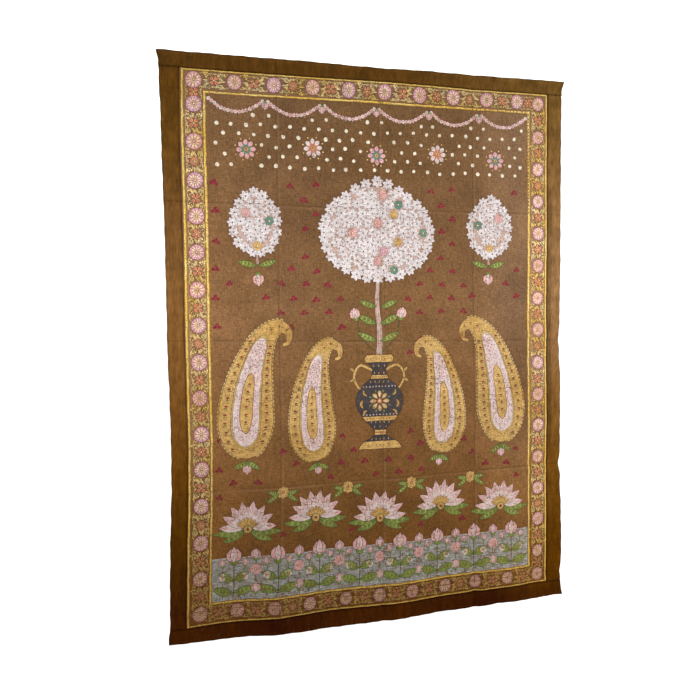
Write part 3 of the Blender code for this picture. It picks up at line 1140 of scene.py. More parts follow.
# pale rays on a pink disc, whose outer petals are parted by fine lines
def rosette(rays, rayPigment):
    look = rosetteLook
    strokes = [disc("maroon", look["radius"] + look["outline"], 0), disc("mauve", look["radius"], 1)]
    for k in range(rays):
        angle = 2 * math.pi * k / rays
        parting = ray(angle + math.pi / rays, *look["parting"])
        petal = ray(angle, look["rayStart"], rng.uniform(*look["rayReach"]))
        strokes.append(stroke("plum", parting, 1.1, "even", 2, steps=3))
        strokes.append(stroke(rayPigment, petal, look["rayGirth"] / rays, "petal", 3, steps=5))
        strokes.append(stroke("plum", ray(angle, 6.5, 10.5), 0.8, "leaf", 4, steps=2))
    return strokes + [disc(pigment, radius, 5 + k) for k, (pigment, radius) in enumerate(look["eye"])]


smallFlowerLook = {
    "width": {4: 12.8, 5: 10.4, 8: 7.1},    # a petal's width, by their count
    "counts": (4, 4, 8, 4, 5),              # from one flower to the next
}


def smallFlower(petals):
    strokes = []
    for k in range(petals):
        angle = 2 * math.pi * (k + 0.5) / petals
        width = smallFlowerLook["width"][petals]
        strokes += edged("coral", ray(angle, 1.5, 15.6), width, "petal", 1, 1.2)
        strokes.append(stroke("maroon", ray(angle, 4, 15.0), 1.2, "even", 3, steps=2))
        for side in (-0.20, 0.20):
            strokes.append(stroke("amber", ray(angle + side, 4, 12), 1.5, "taper", 3, steps=2))
    return strokes + [disc("maroon", 3.8, 3), disc("straw", 2.5, 4)]


def slimLeaf(length, width, bend, pigment="olive"):
    line = [(0, 0), (bend, -length * 0.5), (bend * 0.6, -length)]
    rib = stroke("maroon", through(line, [0.10, 0.45, 0.85]), 1.2, "taper", 3, steps=3)
    return edged(pigment, line, width, "leaf", 1, 1.4) + [rib]


# What may stand in a corner beside a small flower: each grows up and out from the origin.

def leafSpray():
    strokes = []
    for turn, length, pigment in ((-44, 15, "straw"), (0, 19, "olive"), (44, 16, "straw")):
        strokes += moved(slimLeaf(length, 5.8, 1.6, pigment), turn=turn)
    for turn in (-22, 22):
        strokes += [stroke("straw", ray(math.radians(turn), 6, 18), 1.1, "taper", 1, steps=2)]
        strokes.append(disc("straw", 1.9, 2, *ray(math.radians(turn), 0, 19)[1]))
    return strokes


def dottedBunch():
    strokes = moved(slimLeaf(9, 4.0, 1.0, "sage"), turn=-58) + moved(slimLeaf(9, 4.0, 1.0), turn=50)
    for row in range(3):
        for k in range(row + 1):
            x, y = (k - row / 2) * 5.6, -18.5 + row * 5.0
            strokes += [disc("maroon", 3.3, 1, x, y), disc("straw", 2.4, 2, x, y)]
    return strokes


def curledLeaf():
    strokes = []
    for line, width, form, edge in (
            ([(0, 0), (4, -6), (4, -13), (-2, -17), (-6, -13)], 8.5, "drop", 0.8),
            ([(2, -2), (9, -6), (12, -13)], 4.6, "leaf", 0.7),
            ([(0, -3), (-6, -6), (-9, -4)], 3.6, "leaf", 0.7)):
        strokes += edged("olive", line, width, form, 1, edge)
    strokes.append(stroke("straw", [(1.5, -3), (4.2, -8), (2.5, -13)], 2.2, "leaf", 3, steps=3))
    strokes.append(disc("straw", 1.5, 3, -8.5, -9.5))
    return strokes


def roundLeaf():
    strokes = []
    for level, (pigment, radius) in enumerate((("maroon", 7.4), ("straw", 6.4), ("sage", 5.0))):
        strokes.append(disc(pigment, radius, level + 1, 0, -11))
    strokes.append(stroke("straw", [(-3, -9), (0, -14), (3.4, -10), (0.5, -8.5)], 1.4, "taper", 4))
    for turn in (-78, 78):
        strokes += moved(slimLeaf(13, 4.8, 1.2, "straw"), 0, -1, turn)
    return strokes


plants = {
    "corners": (leafSpray, dottedBunch, curledLeaf, roundLeaf),
    "cornerAt": (11.5, -8.0, 48),          # where a corner plant grows from, and its lean
    "rosetteRoom": 24,                     # from a rosette's middle to the plants beside it
    "stemLeafPitch": 9.0,
    "stemLeaves": ("olive", "straw", "sage"),
    "curls": ((19, -14, 3), (26, -9, -3), (14, -20, 2)),    # dark curls: across, down and bend
}


# a fine gold stem along the rule, with leaves that lean off it
def ruleStem(run, ruleLine):
    stem = np.array([(run, 5 - ruleLine), (run - 9, -ruleLine), (12, 1 - ruleLine), (0, 3 - ruleLine)])
    strokes = [stroke("straw", stem, 1.5, "even", 1)]
    for k, share in enumerate(np.arange(0.10, 0.92, plants["stemLeafPitch"] / run)):
        spot = through(stem, [share])[0]
        tip = spot + (-6.0, 5.0 if k % 2 else 3.4)
        strokes += edged(plants["stemLeaves"][k % 3], [spot, tip], 2.8, "leaf", 1, 0.9, steps=3)
    return strokes


# everything between two rosettes: a small flower, four corners and leaves along both rules
def spacer(gap, petals, turn, first, ruleLine):
    strokes = moved(smallFlower(petals), turn=turn, raised=1)
    room = gap / 2 - plants["rosetteRoom"]
    size = min(1.40, (room - 5) / 20) * ruleLine / 25
    parts = ruleStem(gap / 2 - 14, ruleLine)
    # a leaf in the hollow between the rosette and the rule, and dark curls that fill the rest
    parts += moved(slimLeaf(ruleLine - 12, 5.6, 1.6, "sage"), gap / 2 - 16, -13, 24)
    for x, y, bend in plants["curls"]:
        curl = [(x - 4, y + 2), (x, y - bend), (x + 4, y + 1)]
        parts.append(stroke("maroon", curl, 2.1, "leaf", 4, steps=4))
    for place, flip in enumerate(((1, 1), (-1, 1), (-1, -1), (1, -1))):
        corner = []
        if size > 0.45:
            plant = plants["corners"][(first + place) % 4]()
            corner = moved(plant, *plants["cornerAt"], size)
        strokes += [(pigment, spine * flip, widths, level)
                    for pigment, spine, widths, level in parts + corner]
    for side in (-1, 1):
        up = 0 if side < 0 else 180
        strokes += moved(slimLeaf(9.0, 4.8, 1.0, "straw"), side * 1.5, side * 14.5, up + 30)
        strokes += moved(slimLeaf(9.0, 4.8, -1.0), -side * 1.5, side * 14.5, up - 30)
        if room > 20:
            strokes += moved(slimLeaf(room - 16, 5.2, 1.0, "straw"), side * 15, 0, side * 90)
    return strokes


# the rosettes' middles on each side, from corner to corner
def rosetteSpots():
    spots = {side: [(border[side + "Middle"], drop) for drop in border[side + "Row"]]
             for side in ("left", "right")}
    for side, corner in (("top", 0), ("bottom", -1)):
        row = [(across, border[side + "Middle"]) for across in border[side + "Row"]]
        first = (border["leftMiddle"], spots["left"][corner][1])
        last = (border["rightMiddle"], spots["right"][corner][1])
        spots[side] = [first, *row, last]
    return spots


def drawBorder():
    stray = 0.7
    for side, row in rosetteSpots().items():
        upright = side in ("left", "right")
        # the corners' rosettes are drawn with the upright rows
        for place, (across, drop) in enumerate(row if upright else row[1:-1]):
            kind = rosetteLook["kinds"][place % 4]
            size = mix(*border["rosette"][side], drop / cloth["length"])
            paint(rosette(*kind), across + rng.normal(0, stray) * mm, drop + rng.normal(0, stray) * mm,
                  rng.uniform(0, 36), size * rng.uniform(0.96, 1.03), raised=4)
        for k, (begin, end) in enumerate(zip(row, row[1:])):
            middle = (np.array(begin) + end) / 2
            gap = math.dist(begin, end) / mm
            petals = smallFlowerLook["counts"][k % 5]
            strokes = spacer(gap, petals, rng.uniform(-8, 8), k, border["room"][side])
            # along the top some leaves are greener
            if side == "top":
                greener = {"olive": ("sage", "olive")[k % 2]}
                strokes = [(greener.get(pigment, pigment), *rest) for pigment, *rest in strokes]
            # between two close rosettes there is room for the flower alone
            size = min(1.0, (gap - 44) / 28)
            if size < 0.8:
                strokes = moved(smallFlower(petals), size=max(size, 0.75), raised=1)
            turn = 90 if upright else 0
            paint(strokes, *middle, turn + rng.uniform(-1.5, 1.5), flip=bool(k % 2))


# The field holds a formal flowered design: swags, dots and stars on top, a white shrub in a vase
# between medallions and gold teardrops, half and gold flowers below, a water-like band at the foot.

field = {
    "left": -0.5350,
    "right": 0.5335,
    "top": 0.1160,
    "bottom": 1.6455,
    "dotPitch": 0.0450,
    "dotZone": 0.345,
    "sprigPitch": 0.0770,
    "bandTop": 1.5150,
}
fieldMiddle = (field["left"] + field["right"]) / 2
fieldWidth = field["right"] - field["left"]
taken = []    # ellipses that the scattered dots and sprigs leave free


def keepFree(across, drop, halfWidth, halfHeight):
    taken.append((across, drop, halfWidth, halfHeight))


def isFree(across, drop):
    return all(((across - x) / a) ** 2 + ((drop - y) / b) ** 2 > 1 for x, y, a, b in taken)


# a shape is a line, a width and a form; these find places on it and smaller shapes inside it
def shapeSpots(shape, shares, beside):
    points, width, form = shape
    dense = np.linspace(0, 1, 121)
    spine = through(points, dense)
    side = normals(spine)[0]
    shares = np.atleast_1d(np.asarray(shares, float))
    at, out = [np.stack([np.interp(shares, dense, rows[:, k]) for k in (0, 1)], axis=1)
               for rows in (spine, side)]
    reach = width * formOf(form)(np.clip(shares, 0, 1)) / 2 * beside
    return at + out * np.reshape(reach, (-1, 1))


def innerShape(shape, begin, end, breadth, blunt=0.12):
    width, form = shape[1:]
    line = shapeSpots(shape, np.linspace(begin, end, 16), 0.0)

    def narrowed(share):
        nearEnd = np.minimum(share, 1 - share)
        rounding = np.sqrt(np.clip(1 - (1 - np.clip(nearEnd / blunt, 0, 1)) ** 2, 0, 1))
        return formOf(form)(mix(begin, end, share)) * breadth * rounding

    return line, width, narrowed


# a form from rows of share and width, with its corners rounded
def readProfile(rows):
    places, widths = np.array(rows, float).T
    shifts = np.linspace(-0.018, 0.018, 5)
    return lambda share: sum(np.interp(share + shift, places, widths) for shift in shifts) / len(shifts)


def fillShape(pigment, shape, level, edge=0.0, line="maroon", steps=14):
    points, width, form = shape
    strokes = [stroke(pigment, points, width, form, level + 1, 0.0, steps)]
    if edge:
        strokes.append(stroke(line, points, width, form, level, edge, steps))
    return strokes


# crossing lines that follow a shape, with a dot in each mesh
def netting(shape, pigment, dots, pitch, slant, level):
    strokes = []
    step = pitch / walkedAlong(shapeSpots(shape, np.linspace(0, 1, 80), 0.0))[-1]
    for start in np.arange(-slant, 1, step):
        for way in (-1, 1):
            beside = np.linspace(-0.93, 0.93, 13) * way
            shares = start + (beside * way + 1) / 2 * slant
            kept = (shares > 0.03) & (shares < 0.97)
            if kept.sum() > 2:
                line = shapeSpots(shape, shares[kept], beside[kept])
                strokes.append(stroke(pigment, line, 0.8, "even", level, steps=4))
    for k, share in enumerate(np.arange(1.5 * step, 1 - step, step / 2) if dots else ()):
        for beside in ((-0.62, 0.0, 0.62) if k % 2 else (-0.31, 0.31)):
            spot = shapeSpots(shape, share, beside)[0]
            strokes.append(disc(dots[k % len(dots)], 1.7, level + 1, *spot))
    return strokes


# a small pattern flower: three red petals over two green leaves
def patternSprig(level):
    strokes = [stroke("crimson", ray(angle, 0.3, 5.2), 3.6, "petal", level, steps=3)
               for angle in (-0.95, 0.0, 0.95)]
    for way in (-1, 1):
        strokes.append(stroke("moss", [(0, 1), (2.6 * way, 4.4), (5.4 * way, 3.2)], 2.4, "leaf", level,
                              steps=3))
    return strokes


# pattern flowers in rows along a shape, each row at its share of the half width
def patternSprigs(shape, rows, pitch, level, begin=0.08, end=0.93, size=1.0):
    strokes = []
    count = int(walkedAlong(shapeSpots(shape, np.linspace(begin, end, 80), 0.0))[-1] / pitch)
    for row, beside in enumerate(rows):
        for k in range(count):
            share = mix(begin, end, (k + 0.25 + 0.5 * (row % 2)) / count)
            x, y = shapeSpots(shape, share, beside)[0]
            strokes += moved(patternSprig(level), x, y, rng.uniform(-12, 12), size)
    return strokes


# round scallops in a row along both sides of a shape, which covers their inner halves
def frill(shape, pigment, pitch, radius, level, begin, end):
    strokes = []
    shares = np.linspace(begin, end, 160)
    for way in (-1, 1):
        walked = walkedAlong(shapeSpots(shape, shares, way))
        count = max(2, int(walked[-1] / pitch))
        places = np.interp(np.linspace(0, walked[-1], count), walked, shares)
        for x, y in shapeSpots(shape, places, way):
            strokes.append(disc("maroon", radius + 1.1, level, x, y))
            strokes.append(disc(pigment, radius, level + 1, x, y))
    return strokes


def blossom(pigment, petals, reach, eye="amber"):
    strokes = []
    for k in range(petals):
        angle = 2 * math.pi * k / petals
        strokes += edged(pigment, ray(angle, reach * 0.12, reach), 5.4 * reach / petals, "petal", 1,
                         0.7, steps=4)
        if reach > 12:
            vein = ray(angle, reach * 0.35, reach * 0.75)
            strokes.append(stroke("maroon", vein, 0.6, "even", 3, steps=2))
    return strokes + [disc("maroon", reach * 0.26, 3), disc(eye, reach * 0.18, 4)]


def whorl(leaves, reach):
    strokes = []
    for k in range(leaves):
        angle = 2 * math.pi * k / leaves
        strokes += edged("pearl", ray(angle, 2.0, reach), reach * 0.54, "leaf", 1, 0.9, "plum")
        strokes.append(stroke("plum", ray(angle, 5, reach - 4), 0.7, "taper", 3, steps=2))
    return strokes + [disc("maroon", 2.2, 3)]


def bud(size=1.0, pigment="rose"):
    strokes = []
    for way in (-1, 1):
        strokes += edged(pigment, [(way * 2, 0), (way * 8, -9), (way * 4, -21)], 8, "leaf", 1, 0.8)
    strokes += edged("ivory", [(0, 1), (0, -24)], 10, "leaf", 3, 0.8)
    strokes.append(stroke(pigment, [(0, -12), (0, -23)], 4.5, "leaf", 5, steps=3))
    for shift in (-2.2, 0, 2.2):
        strokes.append(stroke("plum", [(shift, -3), (shift * 0.9, -12)], 0.5, "taper", 5, steps=2))
    strokes += edged("leaf", [(-6, -2), (0, 3), (6, -2)], 5, "leaf", 5, 0.6, "moss")
    return moved(strokes, size=size)


def greenLeaf(length, width, bend):
    line = [(0, 0), (bend * 0.7, -length * 0.5), (bend, -length)]
    rib = [(0, -2), (bend * 0.7, -length * 0.5), (bend * 0.97, -length + 6)]
    strokes = edged("leaf", line, width, "leaf", 1, 1.7, "moss", steps=6)
    strokes.append(stroke("moss", rib, 1.5, "taper", 3, steps=5))
    # dark and bright veins in turn
    for k, share in enumerate((0.20, 0.30, 0.40, 0.50, 0.60, 0.70, 0.80)):
        pigment, breadth = (("moss", 1.2), ("straw", 1.7))[k % 2]
        start = through(line, [share])[0]
        for way in (-1, 1):
            tip = start + (way * width * 0.33, -width * 0.24)
            strokes.append(stroke(pigment, [start, tip], breadth, "taper", 3, steps=2))
    return strokes


shrub = {
    "centre": (0.0, 0.520),
    "halfWidth": 178,
    "halfHeight": 140,
    "pitch": 34.0,        # from one whorl to the next
    "leafReach": 20.0,
    "trunk": [(0, 402), (4, 310), (-4, 220), (1, 90), (0, -90)],
    "branches": [(150, 96, 64), (120, 128, 96), (60, 120, 96), (0, 90, 84)],    # start, reach, rise
    "stemLeaves": [(232, 1.0, 62), (286, 1.2, 55), (340, 1.15, 58)],            # place, size, turn
    "budStem": [(0, 384), (52, 334), (74, 262)],
}


# whorls stand along the rim of a pointed oval, then in staggered rows inside it
def crownSpots(halfWidth, halfHeight, pitch):
    def pointed(angle):
        return 1 + 0.16 * max(0.0, math.cos(angle)) ** 10

    girth = 2 * math.pi * math.hypot(halfWidth, halfHeight) / math.sqrt(2)
    rim, inner = [], []
    for angle in np.arange(round(girth / pitch)) * 2 * math.pi / round(girth / pitch):
        rim.append((halfWidth * math.sin(angle), -halfHeight * math.cos(angle) * pointed(angle)))
    for row, y in enumerate(np.arange(0.5 * pitch - 1.2 * halfHeight, halfHeight, pitch * 0.87)):
        for x in np.arange(-round(halfWidth / pitch), round(halfWidth / pitch) + 1) * pitch:
            x = x + pitch / 2 * (row % 2)
            reach = math.hypot(x / halfWidth, y / halfHeight / pointed(math.atan2(x, -y)))
            if reach < 1 - 0.48 * pitch / min(halfWidth, halfHeight):
                inner.append((x, y))
    return rim, inner


# white leaf whorls over a dusky wash, with some blossoms among them
def leafCrown(halfWidth, halfHeight, pitch, reach, blossomEvery):
    oval = [(0, -halfHeight * 1.06), (0, halfHeight * 0.98)]
    strokes = [stroke("blush", oval, 2 * halfWidth, "round", 0, steps=40)]
    rim, inner = crownSpots(halfWidth, halfHeight, pitch)
    for place, (x, y) in enumerate(inner + rim):
        turn, size = rng.uniform(0, 60), rng.uniform(0.94, 1.06)
        x, y = x + rng.normal(0, 1.2), y + rng.normal(0, 1.2)
        if place < len(inner) and place % blossomEvery == 2:
            kind = ("rose", "teal", "gold", "mauve")[place // blossomEvery % 4]
            strokes += moved(blossom(kind, 6, 14.0, "cream"), x, y, turn, size, raised=3)
        else:
            strokes += moved(whorl(7, reach), x, y, turn, size)
    return strokes


# a pinkish stem with dark sides and fine lines along it
def bark(line, width, level):
    strokes = [stroke("maroon", line, width + 3, "taper", level),
               stroke("blush", line, width, "taper", level + 1)]
    for shift in (-0.22, 0.12):
        beside = [(x + shift * width, y) for x, y in line]
        strokes.append(stroke("plum", beside, 0.9, "taper", level + 2))
    return strokes


def drawShrub():
    across, drop = fieldMiddle + shrub["centre"][0], shrub["centre"][1]
    wide, high = shrub["halfWidth"], shrub["halfHeight"]
    strokes = bark(shrub["trunk"], 21, 1)
    for y, reach, rise in shrub["branches"]:
        for way in (-1, 1):
            line = [(0, y), (way * reach * 0.35, y - rise * 0.45), (way * reach, y - rise)]
            strokes += bark(line, 9, 1)
    strokes += moved(leafCrown(wide, high, shrub["pitch"], shrub["leafReach"], 7), raised=6)
    for way in (-1, 1):
        for y, size, turn in shrub["stemLeaves"]:
            strokes += moved(greenLeaf(56, 17, 8), way * 8, y, turn * way, size, flip=way < 0,
                             raised=3)
        line = [(way * x, y) for x, y in shrub["budStem"]]
        strokes.append(stroke("moss", line, 3.2, "even", 2))
        strokes += moved(bud(1.5), way * 75, 268, way * 12, raised=4)
    paint(strokes, across, drop)
    keepFree(across, drop, wide * mm + 0.034, high * mm + 0.040)
    keepFree(across, drop + 0.29, 0.110, 0.13)


vase = {
    "centre": (0.0, 1.055),
    "height": 300,
    "width": 158,
    "outline": [(0.00, 0.50), (0.03, 0.62), (0.07, 0.60), (0.10, 0.36), (0.17, 0.27), (0.24, 0.33),
                (0.33, 0.74), (0.42, 0.96), (0.50, 1.00), (0.58, 0.93), (0.68, 0.66), (0.76, 0.36),
                (0.80, 0.24), (0.85, 0.22), (0.88, 0.40), (0.92, 0.66), (0.96, 0.84), (1.00, 0.90)],
    # shares of the height: gold rings, rows of gold drops with their count, rows of beads
    "rings": [(0.0, 0.075), (0.215, 0.25), (0.655, 0.70), (0.80, 0.85), (0.92, 1.0)],
    "dotRows": [(0.115, 3), (0.190, 3), (0.285, 5), (0.715, 5), (0.765, 3), (0.895, 5)],
    "beadRows": [(0.335, 11), (0.635, 11)],
    "flower": (0, -3),
    "flowerEye": (("maroon", 9.5), ("coral", 8.4), ("cream", 4)),
    "crescents": [(-30, 30, 0.8), (6, 0, 1.0), (34, -34, 0.8)],    # height, lean and size
    "handle": [(22, -102), (62, -118), (84, -86), (72, -52), (58, -40)],
    "handleLeaves": [(-98, 52), (-74, 112)],                       # height and turn
}


# places across the vase, at a share of its height and within a share of its half width
def vaseRow(body, share, within, count):
    return [shapeSpots(body, share, beside)[0] for beside in np.linspace(-within, within, count)]


def vaseBody():
    tall, wide = vase["height"], vase["width"]
    profile = readProfile(vase["outline"])
    body = ([(0, -tall / 2), (0, 0), (0, tall / 2)], wide, profile)
    strokes = fillShape("navy", body, 2, 2.2, "maroon", 60)
    for begin, end in vase["rings"]:
        line = shapeSpots(body, np.linspace(begin, end, 5), 0.0)
        ring = (line, wide, lambda share, a=begin, b=end: profile(mix(a, b, share)))
        strokes += fillShape("gold", ring, 4, 1.0, "maroon", 5)
        strokes += [disc("crimson", 1.7, 6, x, y) for x, y in vaseRow(body, (begin + end) / 2, 0.84, 9)]
    for share, count in vase["dotRows"]:
        for x, y in vaseRow(body, share, 0.70, count):
            strokes.append(stroke("gold", [(x, y + 3.6), (x, y - 3.6)], 3.0, "leaf", 4, steps=3))
    for share, count in vase["beadRows"]:
        strokes += [disc("ivory", 2.0, 4, x, y) for x, y in vaseRow(body, share, 0.90, count)]
    return strokes


def drawVase():
    strokes = vaseBody()
    turns = np.arange(0, 360, 45)
    petal = edged("gold", ray(0, 9, 33), 14, "petal", 1, 0.8)
    petal.append(stroke("ivory", ray(0, 13, 27), 5.0, "petal", 3))
    strokes += around(petal, turns, *vase["flower"], raised=4)
    strokes += around(edged("teal", ray(0, 29, 39), 5.0, "leaf", 1, 0.6), turns + 22.5,
                      *vase["flower"], raised=4)
    for level, (pigment, radius) in enumerate(vase["flowerEye"]):
        strokes.append(disc(pigment, radius, 7 + level, *vase["flower"]))
    crescent = edged("gold", [(0, 13), (6, 0), (0, -13)], 9, "leaf", 1, 0.7)
    crescent.append(stroke("crimson", [(1, 8), (4, 0), (1, -8)], 2.0, "leaf", 3))
    for way in (-1, 1):
        for y, lean, size in vase["crescents"]:
            strokes += moved(crescent, way * (56 - 8 * (size < 1)), y, way * lean, size,
                             flip=way < 0, raised=4)
        handle = [(way * x, y) for x, y in vase["handle"]]
        strokes.append(stroke("maroon", handle, 9.6, "even", 1))
        strokes.append(stroke("gold", handle, 7, "even", 2))
        for y, turn in vase["handleLeaves"]:
            strokes += moved(slimLeaf(19, 8, 2, "gold"), way * 81, y, way * turn, raised=2)
    paint(strokes, fieldMiddle + vase["centre"][0], vase["centre"][1])
    keepFree(fieldMiddle, vase["centre"][1], 0.115, 0.185)


teardrop = {
    "line": [(0, 214), (-12, 130), (-10, 30), (4, -62), (28, -132), (64, -170), (98, -158),
             (101, -128), (84, -118)],
    "width": 158,
    "belly": 0.235,     # where along its line it is widest
    "tail": 1.15,
    "tip": 0.045,
    "stands": [(0.412, 0.985, 1.06, -4), (0.218, 1.030, 0.94, 3)],    # aside, drop, size and lean
}


# round up to its widest place, then thinning out to a tip
def teardropForm(share):
    belly, tip = teardrop["belly"], teardrop["tip"]
    rounded = np.sqrt(np.clip(1 - ((belly - np.minimum(share, belly)) / belly) ** 2, 0, 1))
    along = np.clip((share - belly) / (1 - belly), 0, 1)
    fuller = 1 + 0.9 * along * (1 - along)
    tail = tip + (1 - tip) * (1 - along) ** teardrop["tail"] * fuller
    return np.where(share < belly, rounded, tail)


def teardropStrokes():
    shape = (teardrop["line"], teardrop["width"], teardropForm)
    strokes = frill(shape, "olive", 11.5, 5.6, 0, 0.015, 0.84)
    strokes += fillShape("gold", shape, 2, 1.3, "maroon", 90)
    strokes += netting(shape, "goldShade", (), 11, 0.12, 4)
    strokes += patternSprigs(shape, (-0.76, 0.76), 22, 5, 0.05, 0.70, 1.15)
    strokes += patternSprigs(shape, (0.0,), 20, 5, 0.72, 0.92, 0.8)
    ring = innerShape(shape, 0.055, 0.74, 0.54)
    strokes += fillShape("olive", ring, 6, 1.2, "maroon", 60)
    inner = innerShape(shape, 0.070, 0.72, 0.48)
    strokes += fillShape("ivory", inner, 8, 1.0, "maroon", 60)
    strokes += netting(inner, "mauve", ("crimson", "plum"), 15, 0.14, 10)
    heart = innerShape(shape, 0.15, 0.50, 0.22, 0.30)
    strokes += fillShape("gold", heart, 11, 1.6, "crimson", 30)
    strokes += patternSprigs(heart, (0.0,), 19, 13, 0.14, 0.90, 1.1)
    # a stalk with leaves under the drop
    strokes.append(stroke("moss", [(0, 208), (0, 240)], 4.0, "even", 0))
    strokes += moved(greenLeaf(44, 15, 5), -2, 222, 112)
    strokes += moved(greenLeaf(44, 15, 5), 2, 222, -112, flip=True)
    strokes += moved(bud(1.1), 0, 234, 180)
    return strokes


def drawTeardrops():
    for way in (-1, 1):
        for aside, drop, size, lean in teardrop["stands"]:
            across = fieldMiddle + way * aside
            paint(teardropStrokes(), across, drop, way * lean, size, flip=way > 0)
            keepFree(across, drop, 0.100 * size, 0.262 * size)
            keepFree(across, drop + 0.245 * size, 0.060, 0.040)


medallions = {"aside": 0.392, "drop": 0.500, "halfWidth": 68, "halfHeight": 84, "pitch": 29.0,
              "leafReach": 17.5, "lean": 2.0}


def medallion():
    look = medallions
    crown = leafCrown(look["halfWidth"], look["halfHeight"], look["pitch"], look["leafReach"], 6)
    strokes = moved(crown, raised=6)
    strokes += moved(bud(1.5), 0, 150, 180, raised=2)
    strokes += bark([(0, 118), (0, 20)], 8, 1)
    for way in (-1, 1):
        strokes += moved(greenLeaf(54, 17, 8), way * 4, 124, way * 66, flip=way < 0, raised=3)
    return strokes


def drawMedallions():
    for way in (-1, 1):
        across, drop = fieldMiddle + way * medallions["aside"], medallions["drop"]
        paint(medallion(), across, drop, way * medallions["lean"], flip=way > 0)
        keepFree(across, drop + 0.015, 0.118, 0.168)


halfFlowers = {
    "count": 5,
    "pitch": 0.2135,
    "drop": 1.4290,
    "rise": 0.020,       # every other one stands higher
    "size": 1.06,
    # two rows of petals: count, spread in degrees, reach and width
    "petals": ((8, 84, 82, 22), (7, 66, 66, 19)),
}


def halfFlower():
    strokes = []
    for row, (count, spread, far, width) in enumerate(halfFlowers["petals"]):
        for angle in np.radians(np.linspace(-spread, spread, count)):
            raised = 2 + 3 * row
            strokes += edged("ivory", ray(angle, 14, far), width, "leaf", raised, 0.9, steps=6)
            strokes.append(stroke("rose", ray(angle, far * 0.66, far - 1.5), width * 0.42, "leaf",
                                  raised + 2, steps=4))
            for shift in (-0.09, 0.0, 0.09):
                strokes.append(stroke("mauve", ray(angle + shift, far * 0.32, far * 0.68), 0.8,
                                      "taper", raised + 2, steps=2))
    for angle in np.radians(np.linspace(-60, 60, 7)):
        strokes += edged("gold", ray(angle, 8, 34), 9, "petal", 8, 0.8, steps=4)
        strokes.append(stroke("crimson", ray(angle, 18, 29), 1.4, "leaf", 10, steps=2))
    strokes += [disc("maroon", 13, 10), disc("olive", 11.5, 11), disc("crimson", 4, 12)]
    for way in (-1, 1):
        for turn, length in ((84, 88), (104, 66)):
            strokes += moved(greenLeaf(length, 19, 12), way * 8, 6, way * turn, flip=way < 0)
    return strokes


def drawHalfFlowers():
    count = halfFlowers["count"]
    for k in range(count):
        across = fieldMiddle + (k - (count - 1) / 2) * halfFlowers["pitch"]
        drop = halfFlowers["drop"] - (halfFlowers["rise"] if k % 2 else 0)
        paint(halfFlower(), across, drop, rng.uniform(-2, 2), halfFlowers["size"], flip=bool(k % 2))
        keepFree(across, drop - 0.025, 0.112, 0.083)


goldFlowers = {
    "drop": 1.322,
    "leaves": ((118, 44), (70, 36)),    # turn and length of the leaves on each side
}


# one between each two half flowers
def drawGoldFlowers():
    count = halfFlowers["count"] - 1
    for k in range(count):
        across = fieldMiddle + (k - (count - 1) / 2) * halfFlowers["pitch"]
        flower = blossom("gold", 8, 19, "coral")
        for way in (-1, 1):
            for turn, length in goldFlowers["leaves"]:
                flower += moved(greenLeaf(length, 12, 6), way * 12, 3, way * turn, flip=way < 0)
        paint(flower, across, goldFlowers["drop"], rng.uniform(-4, 4), raised=1)
        keepFree(across, goldFlowers["drop"] + 0.008, 0.070, 0.050)


star = {"drop": 0.262, "lower": 0.014, "pitch": 0.2075, "count": 5}


def starFlower(k):
    outer, inner = (("rose", "teal"), ("ivory", "coral"))[k % 2]
    turns = np.arange(0, 360, 45)
    petal = edged(outer, ray(0, 6, 30), 14, "petal", 1, 0.8)
    petal.append(stroke("plum", ray(0, 18, 27), 0.8, "taper", 3, steps=2))
    between = edged(inner, ray(0, 5, 18), 7, "leaf", 3, 0.6)
    strokes = around(petal, turns) + around(between, turns + 22.5)
    for turn in turns:
        strokes.append(disc("straw", 2.0, 2, *ray(math.radians(turn + 22.5), 0, 34)[1]))
    return strokes + [disc("maroon", 7, 5), disc("gold", 6, 6), disc("crimson", 2.4, 7)]


def drawStars():
    for k in range(star["count"]):
        across = fieldMiddle + (k - (star["count"] - 1) / 2) * star["pitch"]
        drop = star["drop"] + (0.0 if k % 2 else star["lower"])
        paint(starFlower(k), across, drop, rng.uniform(-6, 6))
        keepFree(across, drop, 0.047, 0.047)


swag = {"count": 6, "top": 126, "sag": 40, "flower": 6.2}


# flowers and small leaves in turn, strung in shallow curves with a bud where two meet
def drawSwags():
    width = fieldWidth / mm / swag["count"]
    for k in range(swag["count"]):
        begin = field["left"] / mm + k * width
        line = [(begin + width * share, swag["top"] + swag["sag"] * (1 - (2 * share - 1) ** 2))
                for share in (0.0, 0.25, 0.5, 0.75, 1.0)]
        painting.append(stroke("moss", line, 2.4, "even", 1))
        for place, (x, y) in enumerate(through(line, np.linspace(0.05, 0.95, 17))):
            kind = ("ivory", "rose")[place % 2]
            paint(blossom(kind, 5, swag["flower"]), x * mm, y * mm, 20 * place, raised=1)
            if place % 2:
                leaf = slimLeaf(9, 3.6, 1.0, "sage")
                paint(leaf, x * mm, (y + 3) * mm, 180 + 30 * math.sin(place))
        if k:
            paint(bud(0.95), begin * mm, (swag["top"] + 8) * mm, 180, raised=2)
            keepFree(begin * mm, 0.140, 0.016, 0.035)
        keepFree((begin + width / 2) * mm, 0.147, 0.075, 0.034)


band = {
    "count": 8,            # large buds
    "ripple": 4.6,         # from one row of ripples to the next
    "ripples": ("mist", "maroon", "navy", "mist", "sage", "goldShade"),
    "broad": ("mist", "sage"),
    "largeLeaves": ((22, 66, 60), (60, 50, 48)),    # height, turn and length
}


